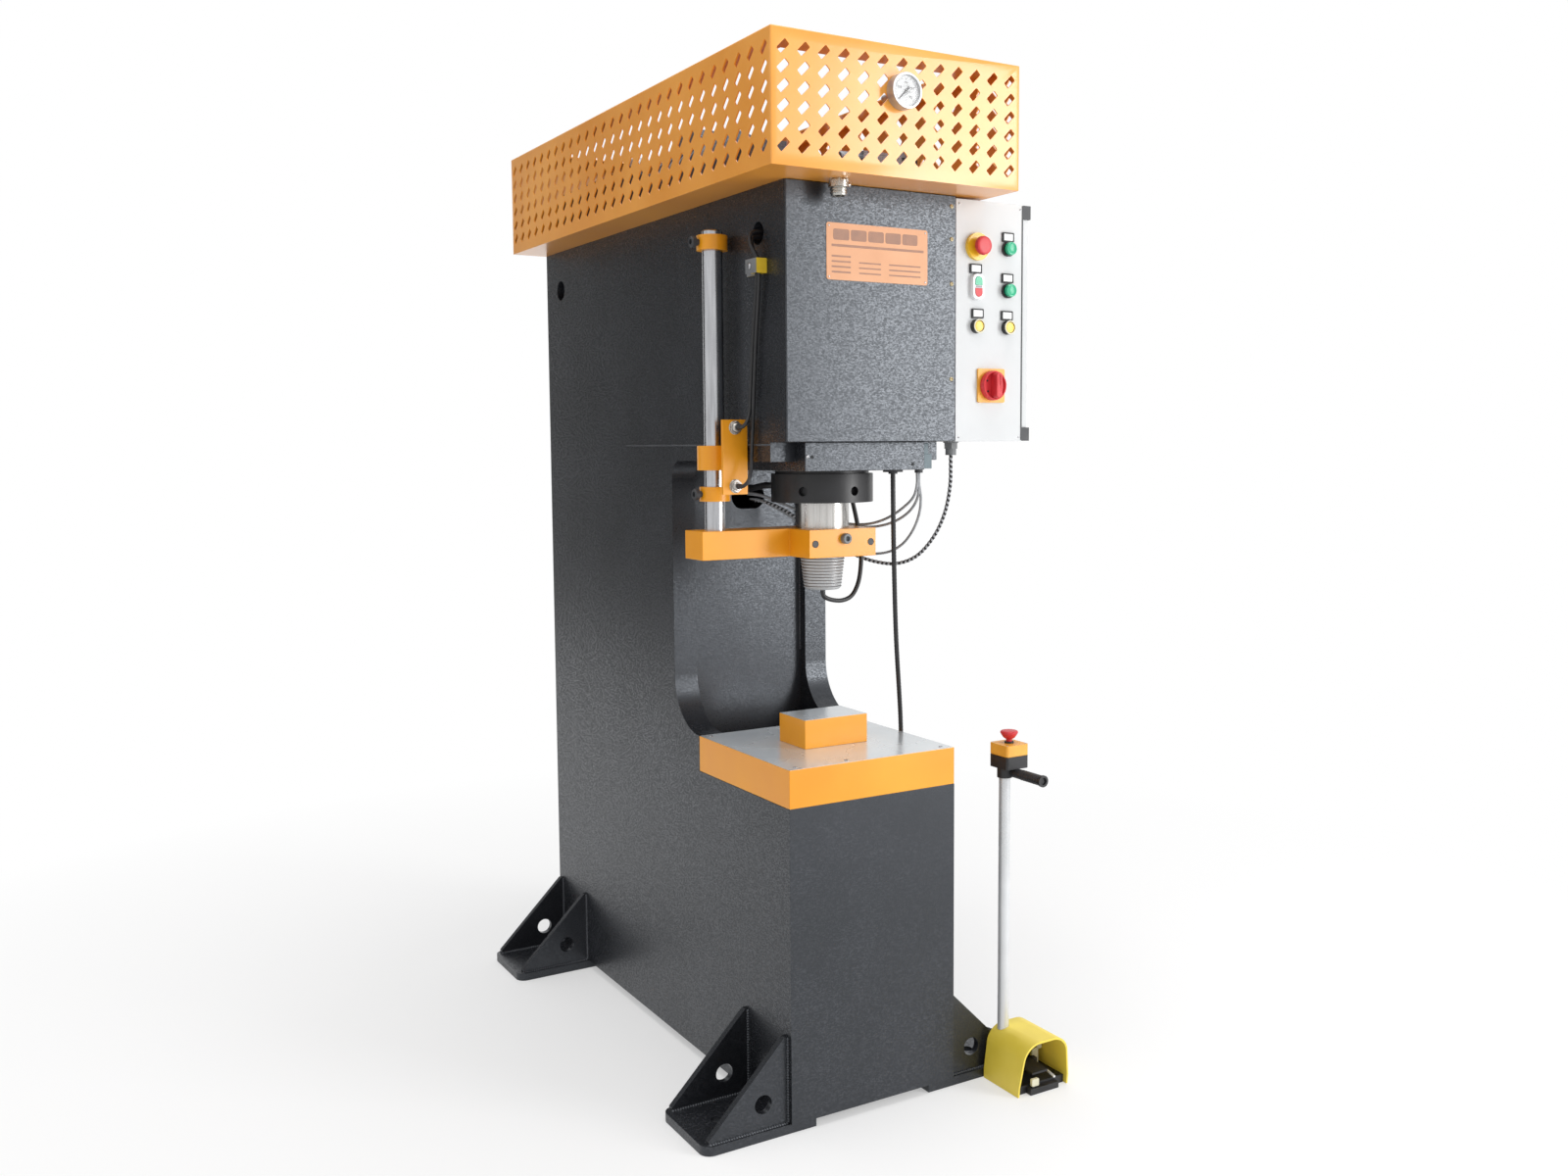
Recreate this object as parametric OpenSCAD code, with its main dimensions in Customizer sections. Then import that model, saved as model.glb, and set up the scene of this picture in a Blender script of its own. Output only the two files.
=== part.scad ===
// C-frame hydraulic press: two profiled side plates with a deep throat, a guided
// ram with an anti-rotation arm, a power unit under a slotted sheet cover, a side
// control cabinet and a separate foot-pedal station on a hanging conduit.
// Millimetres, +Z up, the operator stands at -Y.
// Origin: on the floor, at the centre of the four anchor holes.

/* [Frame] */
// Width over the two side plates
frame_w = 420; // [370:1:520]
// Depth of the side plates, front to back
frame_d = 1316; // [1200:1:1600]
// Height of the frame's top above the floor
frame_top = 1961; // [1900:1:2350]
// Thickness of each side plate
plate_t = 60; // [40:1:72]
// Depth of the throat behind the frame's front
throat_d = 534; // [500:1:640]
// Radius of the throat's lower corner
throat_low_r = 125; // [60:1:140]
// Radius of the throat's upper corner
throat_high_r = 42; // [20:1:60]
// Height of the throat's roof above the floor
throat_roof = 1402; // [1380:1:1700]
// How far the web plate sits behind the throat's edge
web_inset = 24; // [10:1:60]
// Thickness of the web plate
web_t = 40; // [20:1:60]
// Thickness of the front and back closing plates
closing_t = 30; // [15:1:40]
// Diameter of the lifting holes
lifting_d = 52; // [30:1:70]

/* [Table] */
// Height of the table's underside above the floor
table_z = 692; // [600:1:760]
// Thickness of the table plate
table_t = 82; // [40:1:100]
// Width of the die block
die_w = 162; // [100:1:260]
// Depth of the die block
die_d = 112; // [80:1:180]
// Height of the die block
die_h = 64; // [30:1:100]

/* [Feet] */
// Thickness of a foot plate
foot_t = 20; // [12:1:30]
// Reach of a foot beyond the side plate
foot_reach = 201; // [150:1:260]
// Width of a foot plate along the frame
foot_w = 204; // [160:1:260]
// Height of a gusset above the foot plate
gusset_h = 187; // [120:1:260]
// Thickness of a gusset
gusset_t = 15; // [8:1:20]
// Distance over the two gussets of a foot
gusset_span = 188; // [120:1:200]
// Diameter of the hole through a gusset
gusset_hole_d = 40; // [20:1:50]
// Diameter of an anchor hole
anchor_d = 26; // [16:1:40]
// Distance of an anchor hole from the frame's centre plane
anchor_x = 330; // [290:1:360]

/* [Cylinder and ram] */
// Distance of the ram's axis behind the frame's front
ram_inset = 208; // [190:1:250]
// Thickness of the block that carries the cylinder
block_t = 60; // [40:1:90]
// How far that block hangs below the throat's roof
block_drop = 20; // [10:1:30]
// Depth of that block
block_d = 356; // [330:1:380]
// Outer diameter of the cylinder barrel
barrel_d = 190; // [180:1:210]
// Bore of the cylinder barrel
bore_d = 160; // [150:1:172]
// Length of the barrel above its carrying block
barrel_h = 420; // [380:1:440]
// Outer diameter of the ring nut
ring_d = 225; // [215:1:280]
// Height of the ring nut
ring_h = 62; // [50:1:80]
// Diameter of the radial spanner holes in the ring nut
spanner_d = 20; // [10:1:24]
// Diameter of the ram
ram_d = 119; // [99:1:143]
// Diameter of the ram's nose
nose_d = 101; // [80:1:103]
// Length of the ram's nose below the arm
nose_h = 76; // [50:1:110]
// Height of the piston
piston_h = 60; // [40:1:80]
// Stroke of the ram
stroke = 220; // [100:1:230]

/* [Anti-rotation guide] */
// Height of the arm's underside above the floor
arm_z = 1194; // [1160:1:1220]
// Thickness of the arm
arm_t = 61; // [40:1:70]
// Width of the arm's clamping block
clamp_w = 170; // [150:1:200]
// Depth of the arm's clamping block
clamp_d = 172; // [150:1:200]
// Width of the arm's bar
bar_w = 83; // [60:1:110]
// How far the bar reaches past the guide rod's axis
bar_end = 52; // [40:1:80]
// Distance of the guide rod's axis outside the side plate
guide_out = 36; // [34:1:90]
// Distance of the guide rod's axis behind the ram's axis
guide_back = 39; // [0:1:80]
// Diameter of the guide rod
guide_d = 44; // [30:1:46]
// Height of the guide rod's top above the floor
guide_top = 1889; // [1800:1:1900]
// Outer diameter of a stop collar
collar_d = 66; // [56:1:70]
// Height of a stop collar
collar_h = 31; // [20:1:40]
// Height of the upper stop collar's middle above the floor
collar_high_z = 1862; // [1700:1:1870]
// Height of the lower stop collar's middle above the floor
collar_low_z = 1333; // [1300:1:1345]
// Outer diameter of the guide sleeve
sleeve_d = 74; // [60:1:80]
// Height of the guide sleeve
sleeve_h = 52; // [30:1:80]

/* [Cover] */
// Thickness of the cover's sheet
sheet_t = 3; // [2:0.5:5]
// Height of the cover
cover_h = 254; // [220:1:320]
// How far the cover stands out on the left
cover_left_out = 94; // [60:1:140]
// How far the cover stands out on the right
cover_right_out = 80; // [60:1:140]
// How far the cover stands out at the front
cover_front_out = 110; // [60:1:160]
// How far the cover stands out at the back
cover_back_out = 5; // [0:1:80]
// Width of the cover's inward top flange at the front and back
flange_end = 118; // [40:1:160]
// Width of the cover's inward top flange at the sides
flange_side = 90; // [30:1:120]
// Length of a slot
slot_l = 27; // [14:1:30]
// Width of a slot
slot_w = 14; // [8:1:18]
// Spacing of the slots along the front
slot_pitch = 45; // [40:1:60]
// Spacing of the slots along the sides
slot_pitch_side = 51; // [40:1:60]
// Spacing of the slot rows
slot_rise = 36; // [32:1:40]

/* [Control cabinet] */
// Width of the cabinet
cabinet_w = 182; // [160:1:240]
// Depth of the cabinet, front to back
cabinet_d = 400; // [300:1:500]
// Height of the cabinet
cabinet_h = 514; // [480:1:519]
// Thickness of the cabinet's walls
cabinet_t = 2; // [1.5:0.5:4]
// Diameter of a push button
button_d = 26; // [22:1:28]
// Diameter of the emergency stop's red head
estop_d = 40; // [30:1:46]
// Side of the main switch's square plate
switch_side = 73; // [60:1:80]

/* [Pedal station] */
// Width of the pedal's guard
guard_w = 143; // [130:1:180]
// Depth of the pedal's guard
guard_d = 121; // [110:1:160]
// Height of the pedal's guard
guard_h = 121; // [100:1:150]
// Diameter of the pole
pole_d = 26; // [20:1:34]
// Height of the pole's top above the floor
pole_top = 704; // [500:1:1000]
// Side of the square switch box on the pole
pole_box_w = 62; // [56:1:90]

/* [Hidden] */
$fn = 48;

// Clearances
run_gap = 0.05;     // radial, shaft in its bore
air_gap = 0.3;      // between pieces of different bodies
cut = 1;            // how far a cutter runs past a face

// Frame positions
front = -frame_d / 2;
back = frame_d / 2;
side = frame_w / 2;
inner = side - plate_t;
throat_back = front + throat_d;
table_top = table_z + table_t;
table_back = throat_back - throat_low_r;
head_step = 68;     // the roof steps up this far behind the front
head_z = throat_roof + 40;
panel_t = 6;
web_front = throat_back + web_inset;
ram_y = front + ram_inset;
foot_y = back - foot_w / 2 - 6;
lifting_y = back - 103;
lifting_z = frame_top - 104;
cable_hole_d = 46;
cable_hole_y = front + 112;
cable_hole_z = frame_top - 93;
clamp_drop = 84;    // the cable clamp's foot below the middle of the cable hole
clamp_out = 25;
clamp_h = 30;
sensor_cable_d = 8;

// Cylinder and ram
block_z = throat_roof - block_drop;
block_top = block_z + block_t;
block_front = front + 30;
collar_neck = 8;
ring_top = block_z - collar_neck;
ring_z = ring_top - ring_h;
barrel_top = block_top + barrel_h;
gland_h = 82;
spanner_turn = 37;  // the ring nut's first spanner hole, from +X
spanner_up = 25;    // the spanner holes above the ring nut's lower face
ring_port = 112;    // where the hose enters the ring nut, from +X
arm_top = arm_z + arm_t;
nose_z = arm_z - nose_h;
cap_h = 25;
nose_chamfer = 6;
nose_taper = 8.5;   // by how much the nose is narrower at its end, on the radius
thread_pitch = 6.8;
thread_depth = 2.4;
thread_turns = floor((nose_h - nose_chamfer) / thread_pitch);
piston_top = barrel_top - cap_h - 10;

// Guide
guide_x = side + guide_out;
guide_y = ram_y + guide_back;
sleeve_z = throat_roof - 18;
bracket_h = 34;
collar_bolt_d = 14;
collar_bolt_in = 8;
sensor_plate_t = 8;
sensor_plate_y = guide_y - 81;
sensor_d = 18;
sensor_x = -guide_x + 3;
sensor_z = [throat_roof - 50.5, throat_roof + 71.5];

// Cover
cover_x0 = -side - cover_left_out;
cover_x1 = side + cover_right_out;
cover_y0 = front - cover_front_out;
cover_y1 = back + cover_back_out;
cover_z0 = frame_top;
cover_z1 = frame_top + cover_h;
floor_t = 6;
floor_z = cover_z0 + floor_t;
slot_chamfer = 1.8;
slot_low = 38;      // lowest slot row above the cover's bottom edge
slot_margin = 25;   // least distance from a wall's end to a slot's middle
slot_rows = floor((cover_h - 2 * slot_low) / slot_rise + 0.5) + 1;
gauge_x = -9;
gauge_z = cover_z0 + 164;
gauge_d = 70;
gauge_out = 23;
gauge_hole_d = 16;

// Cabinet
cab_x0 = side;
cab_x1 = side + cabinet_w;
cab_z0 = head_z;
cab_z1 = head_z + cabinet_h;
cab_y1 = front + cabinet_d;
door_t = 16;
door_gap = 0.6;
door_x = cab_x1 + door_gap;
corner_w = 26;
corner_h = 30;
corner_t = 22;
corner_lip = 3;
hinge_pin_d = 5;
hinge_x = cab_x1 + 19;
hinge_y = cab_y1 - 2.5;
button_left = cab_x0 + 54;
button_right = cab_x0 + 138.5;
estop_z = cab_z0 + 416;
twin_z = cab_z0 + 331;
cycle_z = cab_z0 + 326.5;
yellow_z = cab_z0 + 247;
switch_x = cab_x0 + 93.5;
switch_z = cab_z0 + 120.5;
stem_d = 20;
bezel_t = 10;
press = 4;          // travel of a push button
estop_press = 6;    // travel of an emergency stop
stem_back = 22;     // how far a button's stem reaches behind the front wall

// Pedal station
guard_x = side + 159;
guard_y0 = front - 119;
guard_y1 = guard_y0 + guard_d;
guard_t = 4;
tray_t = 18;
guard_flare = 12;   // how far the guard's top reaches out over its mouth
pole_x = guard_x - 31;
pole_y = guard_y1 - 18;
box_x = pole_x + 12;
neck_drop = 10;     // how far the box's neck runs down over the pole
collar_rise = 4;    // the collar under the pole's emergency stop
box_z = pole_top + 12;
box_h = 28;
lid_h = 26;

// Where the cords start and end
gland_x = side + 52;
gland_y = front + 86;
block_gland = [inner - 22, block_front + 88];
grey_gland = [inner + 26, front + 88];
cover_nipple = [-112, front - 42];
web_hole_w = 90;
web_hole_h = 58;
web_hole_z = throat_roof - 90;

// A route whose start is moved by a and whose end is moved by b
function moved(p, a, b) = [for (i = [0 : len(p) - 1])
  p[i] + a + (b - a) * max(0, min(1, (i - 1) / (len(p) - 3)))];

// How far the cords' anchor points have moved from the routes as drawn
ram_move = ram_y + 450;
block_move = [inner - 150, front + 658, block_z - 1382];
web_move = [0, web_front + 100, web_hole_z - 1312];

// Cord routes
pedal_conduit_path = moved([
  [128, -540, 1372], [129, -540, 1270], [142, -524, 1170], [168, -494, 1005],
  [212, -448, 810], [228, -430, 700], [262, -405, 300], [282, -400, 140],
  [320, -400, 40], [372, -404, 10], [430, -424, 9], [462, -490, 9],
  [468, -570, 9], [456, -606, 12], [420, -638, 31], [415, -648, 33], [415, -656, 33]
], block_move, [side - 210, front + 658, 0]);
spiral_path = moved([
  [262, -572, 1412], [264, -566, 1345], [266, -545, 1282], [259, -510, 1224],
  [242, -468, 1180], [218, -428, 1162], [190, -380, 1164], [154, -320, 1184],
  [112, -250, 1224], [40, -115, 1300], [32, -80, 1302]
], [side - 210, front + 658, cab_z0 - 1442], web_move);
grey_path = moved([
  [176, -570, 1374], [176, -570, 1350], [184, -556, 1322], [190, -520, 1290],
  [184, -472, 1264], [168, -425, 1250], [150, -380, 1247], [124, -320, 1252],
  [76, -220, 1279], [28, -125, 1314], [14, -80, 1318]
], [inner - 150, front + 658, throat_roof - 1402], web_move);
nose_hose_path = moved([
  [0, -450, 1118], [0, -450, 1112], [3, -450, 1102], [14, -450, 1094.5],
  [50, -448, 1088], [80, -444, 1096], [102, -437, 1121], [116, -428, 1158],
  [123, -418, 1200], [122, -404, 1260], [115, -388, 1330], [114, -384, 1360],
  [114, -384, 1381]
], [0, ram_move, nose_z - 1118], [0, ram_move, block_z - 1382]);
ring_reach = ring_d / 2 + 0.7;
ring_hose_path = concat(moved([
  [-18, -80, 1330], [-18, -115, 1330], [-24, -170, 1334], [-38, -235, 1341],
  [-50, -290, 1345]
], web_move, [0, ram_move, ring_z - 1312]), [for (r = [ring_reach + 28, ring_reach])
  [r * cos(ring_port), ram_y + r * sin(ring_port), ring_z + 33]]);
low_sensor_path = moved([
  [-190, -556, 1872], [-231, -559, 1866], [-239, -564, 1848], [-234, -571, 1828],
  [-226, -574, 1810], [-224, -574, 1780], [-221, -552, 1640], [-220, -529, 1420],
  [-223, -530, 1384], [-232, -536, 1363], [-241, -533, 1353], [-243, -524, 1351.5],
  [-243, -514.3, 1351.5]
], [210 - side, cable_hole_y + 546, cable_hole_z - 1868],
   [sensor_x + 243, sensor_plate_y + 492, sensor_z[0] - 1351.5]);
high_sensor_path = moved([
  [-190, -548, 1862], [-225, -551, 1856], [-230, -557, 1840], [-228, -562, 1824],
  [-225, -564, 1810], [-224, -564, 1780], [-222, -541, 1640], [-222, -529, 1530],
  [-227, -532, 1500], [-237, -535, 1480], [-243, -526, 1473.5], [-243, -514.3, 1473.5]
], [210 - side, cable_hole_y + 546, cable_hole_z - 1868],
   [sensor_x + 243, sensor_plate_y + 492, sensor_z[1] - 1473.5]);

// ---- shared shapes ----

// A round bar along -Y, its back face at y = 0
module toward_front(d, h) {
  rotate([90, 0, 0]) cylinder(d = d, h = h);
}

// A flat sheet shape drawn as (y, z), standing with its thickness along X
module standing_yz(t) {
  rotate([90, 0, 90]) linear_extrude(t) children();
}

// A flat sheet shape drawn as (x, z), standing with its thickness along +Y
module standing_xz(t) {
  translate([0, t, 0]) rotate([90, 0, 0]) linear_extrude(t) children();
}

// A rectangle with round corners
module round_rect(w, h, r) {
  union() {
    translate([-w / 2 + r, -h / 2]) square([w - 2 * r, h]);
    translate([-w / 2, -h / 2 + r]) square([w, h - 2 * r]);
    for (sx = [-1, 1], sy = [-1, 1])
      translate([sx * (w / 2 - r), sy * (h / 2 - r)]) circle(r = r);
  }
}

// A straight bar with round ends, standing upright
module stadium(w, h) {
  union() {
    translate([-w / 2, -h / 2 + w / 2]) square([w, h - w]);
    for (s = [-1, 1]) translate([0, s * (h / 2 - w / 2)]) circle(d = w);
  }
}

// ---- cords: a tube swept along a route ----

function unit(v) = v / norm(v);
function tangent_at(p, i) = unit(p[min(i + 1, len(p) - 1)] - p[max(i - 1, 0)]);
// The side vector is carried from ring to ring, so the tube doesn't twist
function carried(u, t) = unit(u - (u * t) * t);
function side_vectors(p, i, u) =
  i == len(p) ? [] : let (v = carried(u, tangent_at(p, i))) concat([v], side_vectors(p, i + 1, v));

module cord(p, d, start_side, sides = 8) {
  n = len(p);
  u = side_vectors(p, 0, start_side);
  points = [for (i = [0 : n - 1]) let (w = cross(tangent_at(p, i), u[i]))
    for (k = [0 : sides - 1]) p[i] + d / 2 * (cos(360 * k / sides) * u[i] + sin(360 * k / sides) * w)];
  walls = [for (i = [0 : n - 2], k = [0 : sides - 1]) let (m = (k + 1) % sides)
    [i * sides + k, (i + 1) * sides + k, (i + 1) * sides + m, i * sides + m]];
  ends = [[for (k = [0 : sides - 1]) k], [for (k = [sides - 1 : -1 : 0]) (n - 1) * sides + k]];
  polyhedron(points, concat(walls, ends));
}

// ---- frame ----

// The open throat, with the ledge that the table sits on and the step under the head
module throat_2d() {
  difference() {
    translate([front - cut, table_top - cut])
      square([throat_d + cut, throat_roof - table_top + cut]);
    difference() {
      translate([table_back, table_top - 2 * cut]) square([throat_low_r + cut, throat_low_r + 2 * cut]);
      translate([table_back, table_top + throat_low_r]) circle(r = throat_low_r);
    }
    difference() {
      translate([throat_back - throat_high_r, throat_roof - throat_high_r])
        square([throat_high_r + cut, throat_high_r + cut]);
      translate([throat_back - throat_high_r, throat_roof - throat_high_r]) circle(r = throat_high_r);
    }
  }
  translate([front - cut, table_z]) square([throat_d - throat_low_r + cut, table_t]);
  translate([front - cut, throat_roof - cut]) square([head_step + cut, head_z - throat_roof + cut]);
}

module side_profile() {
  difference() {
    translate([front, foot_t]) square([frame_d, frame_top - foot_t]);
    throat_2d();
    translate([front - cut, head_z - cut]) square([panel_t + cut, frame_top - head_z + 2 * cut]);
    translate([lifting_y, lifting_z]) circle(d = lifting_d);
  }
}

module left_side_plate() {
  color("dimgray") difference() {
    translate([-side, 0, 0]) standing_yz(plate_t) side_profile();
    translate([-side - cut, cable_hole_y, cable_hole_z])
      rotate([0, 90, 0]) cylinder(d = cable_hole_d, h = plate_t + 2 * cut);
  }
}

module right_side_plate() {
  color("dimgray") translate([inner, 0, 0]) standing_yz(plate_t) side_profile();
}

module throat_web() {
  color("dimgray") translate([0, web_front, 0]) standing_xz(web_t) difference() {
    translate([-inner, foot_t]) square([2 * inner, frame_top - foot_t]);
    translate([5, web_hole_z]) rotate(90) stadium(web_hole_h, web_hole_w);
  }
}

module back_plate() {
  color("dimgray") translate([-inner, back - closing_t, foot_t])
    cube([2 * inner, closing_t, frame_top - foot_t]);
}

module pedestal_front_plate() {
  color("dimgray") translate([-inner, front, foot_t])
    cube([2 * inner, closing_t, table_z - foot_t]);
}

module head_front_panel() {
  color("dimgray") translate([0, front, 0]) standing_xz(panel_t)
    translate([-side, head_z]) square([frame_w, frame_top - head_z]);
}

module cylinder_mount_block() {
  color("dimgray") difference() {
    translate([-inner, block_front, block_z]) cube([2 * inner, block_d, block_t]);
    translate([0, ram_y, block_z - cut]) cylinder(d = barrel_d, h = block_t + 2 * cut);
  }
}

module table_plate() {
  color("orange") translate([-side, front, table_z]) cube([frame_w, table_back - front, table_t]);
}

module die_block() {
  color("orange") translate([-die_w / 2, ram_y - die_d / 2, table_top]) cube([die_w, die_d, die_h]);
}

// ---- feet ----

corner_r = 25;
foot_lap = 64;      // how far a foot plate runs under the frame
gusset_flat = 8;

module foot_plate_2d() {
  difference() {
    union() {
      translate([side - foot_lap, -foot_w / 2]) square([foot_reach + foot_lap - corner_r, foot_w]);
      translate([side, -foot_w / 2 + corner_r]) square([foot_reach, foot_w - 2 * corner_r]);
      for (s = [-1, 1]) translate([side + foot_reach - corner_r, s * (foot_w / 2 - corner_r)])
        circle(r = corner_r);
    }
    translate([anchor_x, 0]) circle(d = anchor_d);
  }
}

module gusset_2d() {
  tip = side + foot_reach - 14;
  difference() {
    polygon([[side, foot_t], [tip, foot_t], [tip, foot_t + gusset_flat],
      [side + gusset_flat, foot_t + gusset_h], [side, foot_t + gusset_h]]);
    translate([side + 60, foot_t + 55]) circle(d = gusset_hole_d);
  }
}

// One foot: a plate that the frame stands on, with two gussets against the side plate
module foot(sx, sy) {
  color("dimgray") translate([0, sy * foot_y, 0]) mirror([sx < 0 ? 1 : 0, 0, 0]) union() {
    linear_extrude(foot_t) foot_plate_2d();
    for (s = [-1, 1]) translate([0, s * (gusset_span - gusset_t) / 2 - gusset_t / 2, 0])
      standing_xz(gusset_t) gusset_2d();
  }
}

module foot_front_left() { foot(-1, -1); }
module foot_front_right() { foot(1, -1); }
module foot_rear_left() { foot(-1, 1); }
module foot_rear_right() { foot(1, 1); }

// ---- cylinder and ram ----

barrel_flange_d = 240;
barrel_flange_h = 30;

module cylinder_barrel() {
  color("gray") translate([0, ram_y, 0]) rotate_extrude() difference() {
    union() {
      translate([0, ring_z + 2]) square([barrel_d / 2, barrel_top - ring_z - 2]);
      translate([0, block_top]) square([barrel_flange_d / 2, barrel_flange_h]);
    }
    translate([0, ring_z]) square([ram_d / 2 + run_gap, gland_h + 2]);
    translate([0, ring_z + gland_h]) square([bore_d / 2 + run_gap, barrel_top - cap_h - ring_z - gland_h]);
  }
}

module ring_nut() {
  color("black") translate([0, ram_y, 0]) difference() {
    rotate_extrude() difference() {
      union() {
        translate([0, ring_z]) square([ring_d / 2, ring_h]);
        translate([0, ring_top]) square([ring_d / 2 - 9, collar_neck]);
      }
      translate([0, ring_z - cut]) square([barrel_d / 2, ring_h + collar_neck + 2 * cut]);
    }
    for (i = [0 : 5]) rotate([0, 0, 60 * i + spanner_turn])
      translate([barrel_d / 2 + 4, 0, ring_z + spanner_up])
        rotate([0, 90, 0]) cylinder(d = spanner_d, h = ring_d / 2);
  }
}

// The tapered nose's radius at height z
function nose_r(z) = nose_d / 2 - nose_taper * (arm_z - z) / nose_h;

// The nose's outline from the arm down: a crest and a root for each turn of its thread
thread_points = [for (i = [0 : thread_turns - 1], k = [0, 1])
  let (z = arm_z - (i + 0.25 + k / 2) * thread_pitch) [nose_r(z) - k * thread_depth, z]];

// The ram and its piston, turned in one, with the threaded nose below the arm
module ram_rod() {
  color("silver") translate([0, ram_y, 0]) rotate_extrude() polygon(concat(
    [[0, piston_top], [bore_d / 2, piston_top], [bore_d / 2, piston_top - piston_h],
     [ram_d / 2, piston_top - piston_h], [ram_d / 2, arm_z], [nose_r(arm_z), arm_z]],
    thread_points,
    [[nose_r(nose_z + nose_chamfer), nose_z + nose_chamfer],
     [nose_r(nose_z) - nose_chamfer, nose_z], [0, nose_z]]));
}

// ---- anti-rotation guide ----

module antirotation_arm() {
  color("orange") difference() {
    union() {
      translate([-clamp_w / 2, ram_y - clamp_d / 2, arm_z]) cube([clamp_w, clamp_d, arm_t]);
      translate([-guide_x - bar_end, guide_y - bar_w / 2, arm_z])
        cube([guide_x + bar_end - clamp_w / 2 + cut, bar_w, arm_t]);
    }
    translate([0, ram_y, arm_z - cut]) cylinder(d = ram_d, h = arm_t + 2 * cut);
    translate([-guide_x, guide_y, arm_z - cut]) cylinder(d = guide_d, h = arm_t + 2 * cut);
    for (x = [-70, 72]) translate([x, ram_y - clamp_d / 2 + 12, arm_z + arm_t / 2])
      toward_front(14, 12 + cut);
  }
}

// The clamp's cap screw on the front, and each stop collar's radial bolt
module arm_screws() {
  color("silver") translate([5, ram_y - clamp_d / 2, arm_z + 40]) difference() {
    toward_front(23, 12);
    translate([0, -6, 0]) rotate([90, 0, 0]) cylinder(d = 12, h = 6 + cut, $fn = 6);
  }
  color("black") for (z = [collar_low_z, collar_high_z])
    translate([-guide_x - collar_d / 2 - 18, guide_y, z]) rotate([0, 90, 0]) union() {
      cylinder(d = 24, h = 12);
      cylinder(d = collar_bolt_d, h = 18 + collar_bolt_in);
    }
}

module guide_rod() {
  color("silver") translate([-guide_x, guide_y, 0]) rotate_extrude()
    polygon([[0, arm_z], [guide_d / 2, arm_z], [guide_d / 2, guide_top - 3],
      [guide_d / 2 - 3, guide_top], [0, guide_top]]);
}

module stop_collars() {
  color("orange") for (z = [collar_low_z, collar_high_z])
    translate([-guide_x, guide_y, z - collar_h / 2]) difference() {
      cylinder(d = collar_d, h = collar_h);
      translate([0, 0, -cut]) cylinder(d = guide_d, h = collar_h + 2 * cut);
      translate([-collar_d / 2 - cut, 0, collar_h / 2]) rotate([0, 90, 0])
        cylinder(d = collar_bolt_d, h = collar_bolt_in + cut);
    }
}

// A sleeve round the guide rod on a block welded to the left side plate
module guide_bracket() {
  color("orange") difference() {
    union() {
      translate([-guide_x, guide_y, sleeve_z]) cylinder(d = sleeve_d, h = sleeve_h);
      translate([-guide_x, sensor_plate_y, throat_roof])
        cube([guide_x - side, guide_y + sleeve_d / 2 - sensor_plate_y, bracket_h]);
    }
    translate([-guide_x, guide_y, sleeve_z - cut])
      cylinder(d = guide_d + 2 * run_gap, h = sleeve_h + 2 * cut);
    translate([-side, guide_y - sleeve_d, sleeve_z - cut])
      cube([sleeve_d, 2 * sleeve_d, sleeve_h + 2 * cut]);
  }
}

module sensor_plate() {
  color("orange") difference() {
    translate([-guide_x - 26, sensor_plate_y - sensor_plate_t, throat_roof - 68])
      cube([58, sensor_plate_t, 156]);
    for (z = sensor_z) translate([sensor_x, sensor_plate_y + cut, z])
      toward_front(sensor_d, sensor_plate_t + 2 * cut);
  }
}

module limit_sensors() {
  color("silver") for (z = sensor_z) translate([sensor_x, sensor_plate_y, z]) union() {
    translate([0, 32, 0]) toward_front(sensor_d, 32 + sensor_plate_t + 14);
    translate([0, -sensor_plate_t, 0]) toward_front(27, 5);
    translate([0, 5, 0]) toward_front(27, 5);
  }
}

// A strap that holds the two sensor cables against the side plate
module cable_clamp() {
  color("gold") translate([-side, cable_hole_y, cable_hole_z - clamp_drop]) difference() {
    union() {
      translate([-clamp_out, -37, 0]) cube([clamp_out, 28, clamp_h]);
      translate([-4, -9, 0]) cube([4, 52, clamp_h]);
    }
    translate([-22.4, -33, -cut]) cube([13, 19.4, clamp_h + 2 * cut]);
  }
}

module sensor_cable() {
  color("black") {
    cord(low_sensor_path, sensor_cable_d, [0, 1, 0]);
    cord(high_sensor_path, sensor_cable_d, [0, 1, 0]);
  }
}

// ---- cover ----

// One slot: a bar turned to 45 degrees with its corners cut back
module slot_2d() {
  a = slot_l / 2;
  b = slot_w / 2;
  c = slot_chamfer;
  rotate(45) polygon([[-a + c, -b], [a - c, -b], [a, -b + c], [a, b - c],
    [a - c, b], [-a + c, b], [-a, b - c], [-a, -b + c]]);
}

// Rows of slots centred on a wall that is length long
module slot_field(length, pitch) {
  columns = floor((length - 2 * slot_margin) / pitch) + 1;
  for (i = [0 : columns - 1], j = [0 : slot_rows - 1])
    translate([(i - (columns - 1) / 2) * pitch, slot_low + j * slot_rise]) slot_2d();
}

cover_len = cover_y1 - cover_y0;
cover_wid = cover_x1 - cover_x0;

module cover_front() {
  color("orange") translate([(cover_x0 + cover_x1) / 2, cover_y0, cover_z0]) standing_xz(sheet_t)
    difference() {
      translate([-cover_wid / 2, 0]) square([cover_wid, cover_h - sheet_t]);
      slot_field(cover_wid, slot_pitch);
      translate([gauge_x - (cover_x0 + cover_x1) / 2, gauge_z - cover_z0]) circle(d = gauge_hole_d);
    }
}

module cover_rear() {
  color("orange") translate([cover_x0, cover_y1 - sheet_t, cover_z0])
    cube([cover_wid, sheet_t, cover_h - sheet_t]);
}

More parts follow.
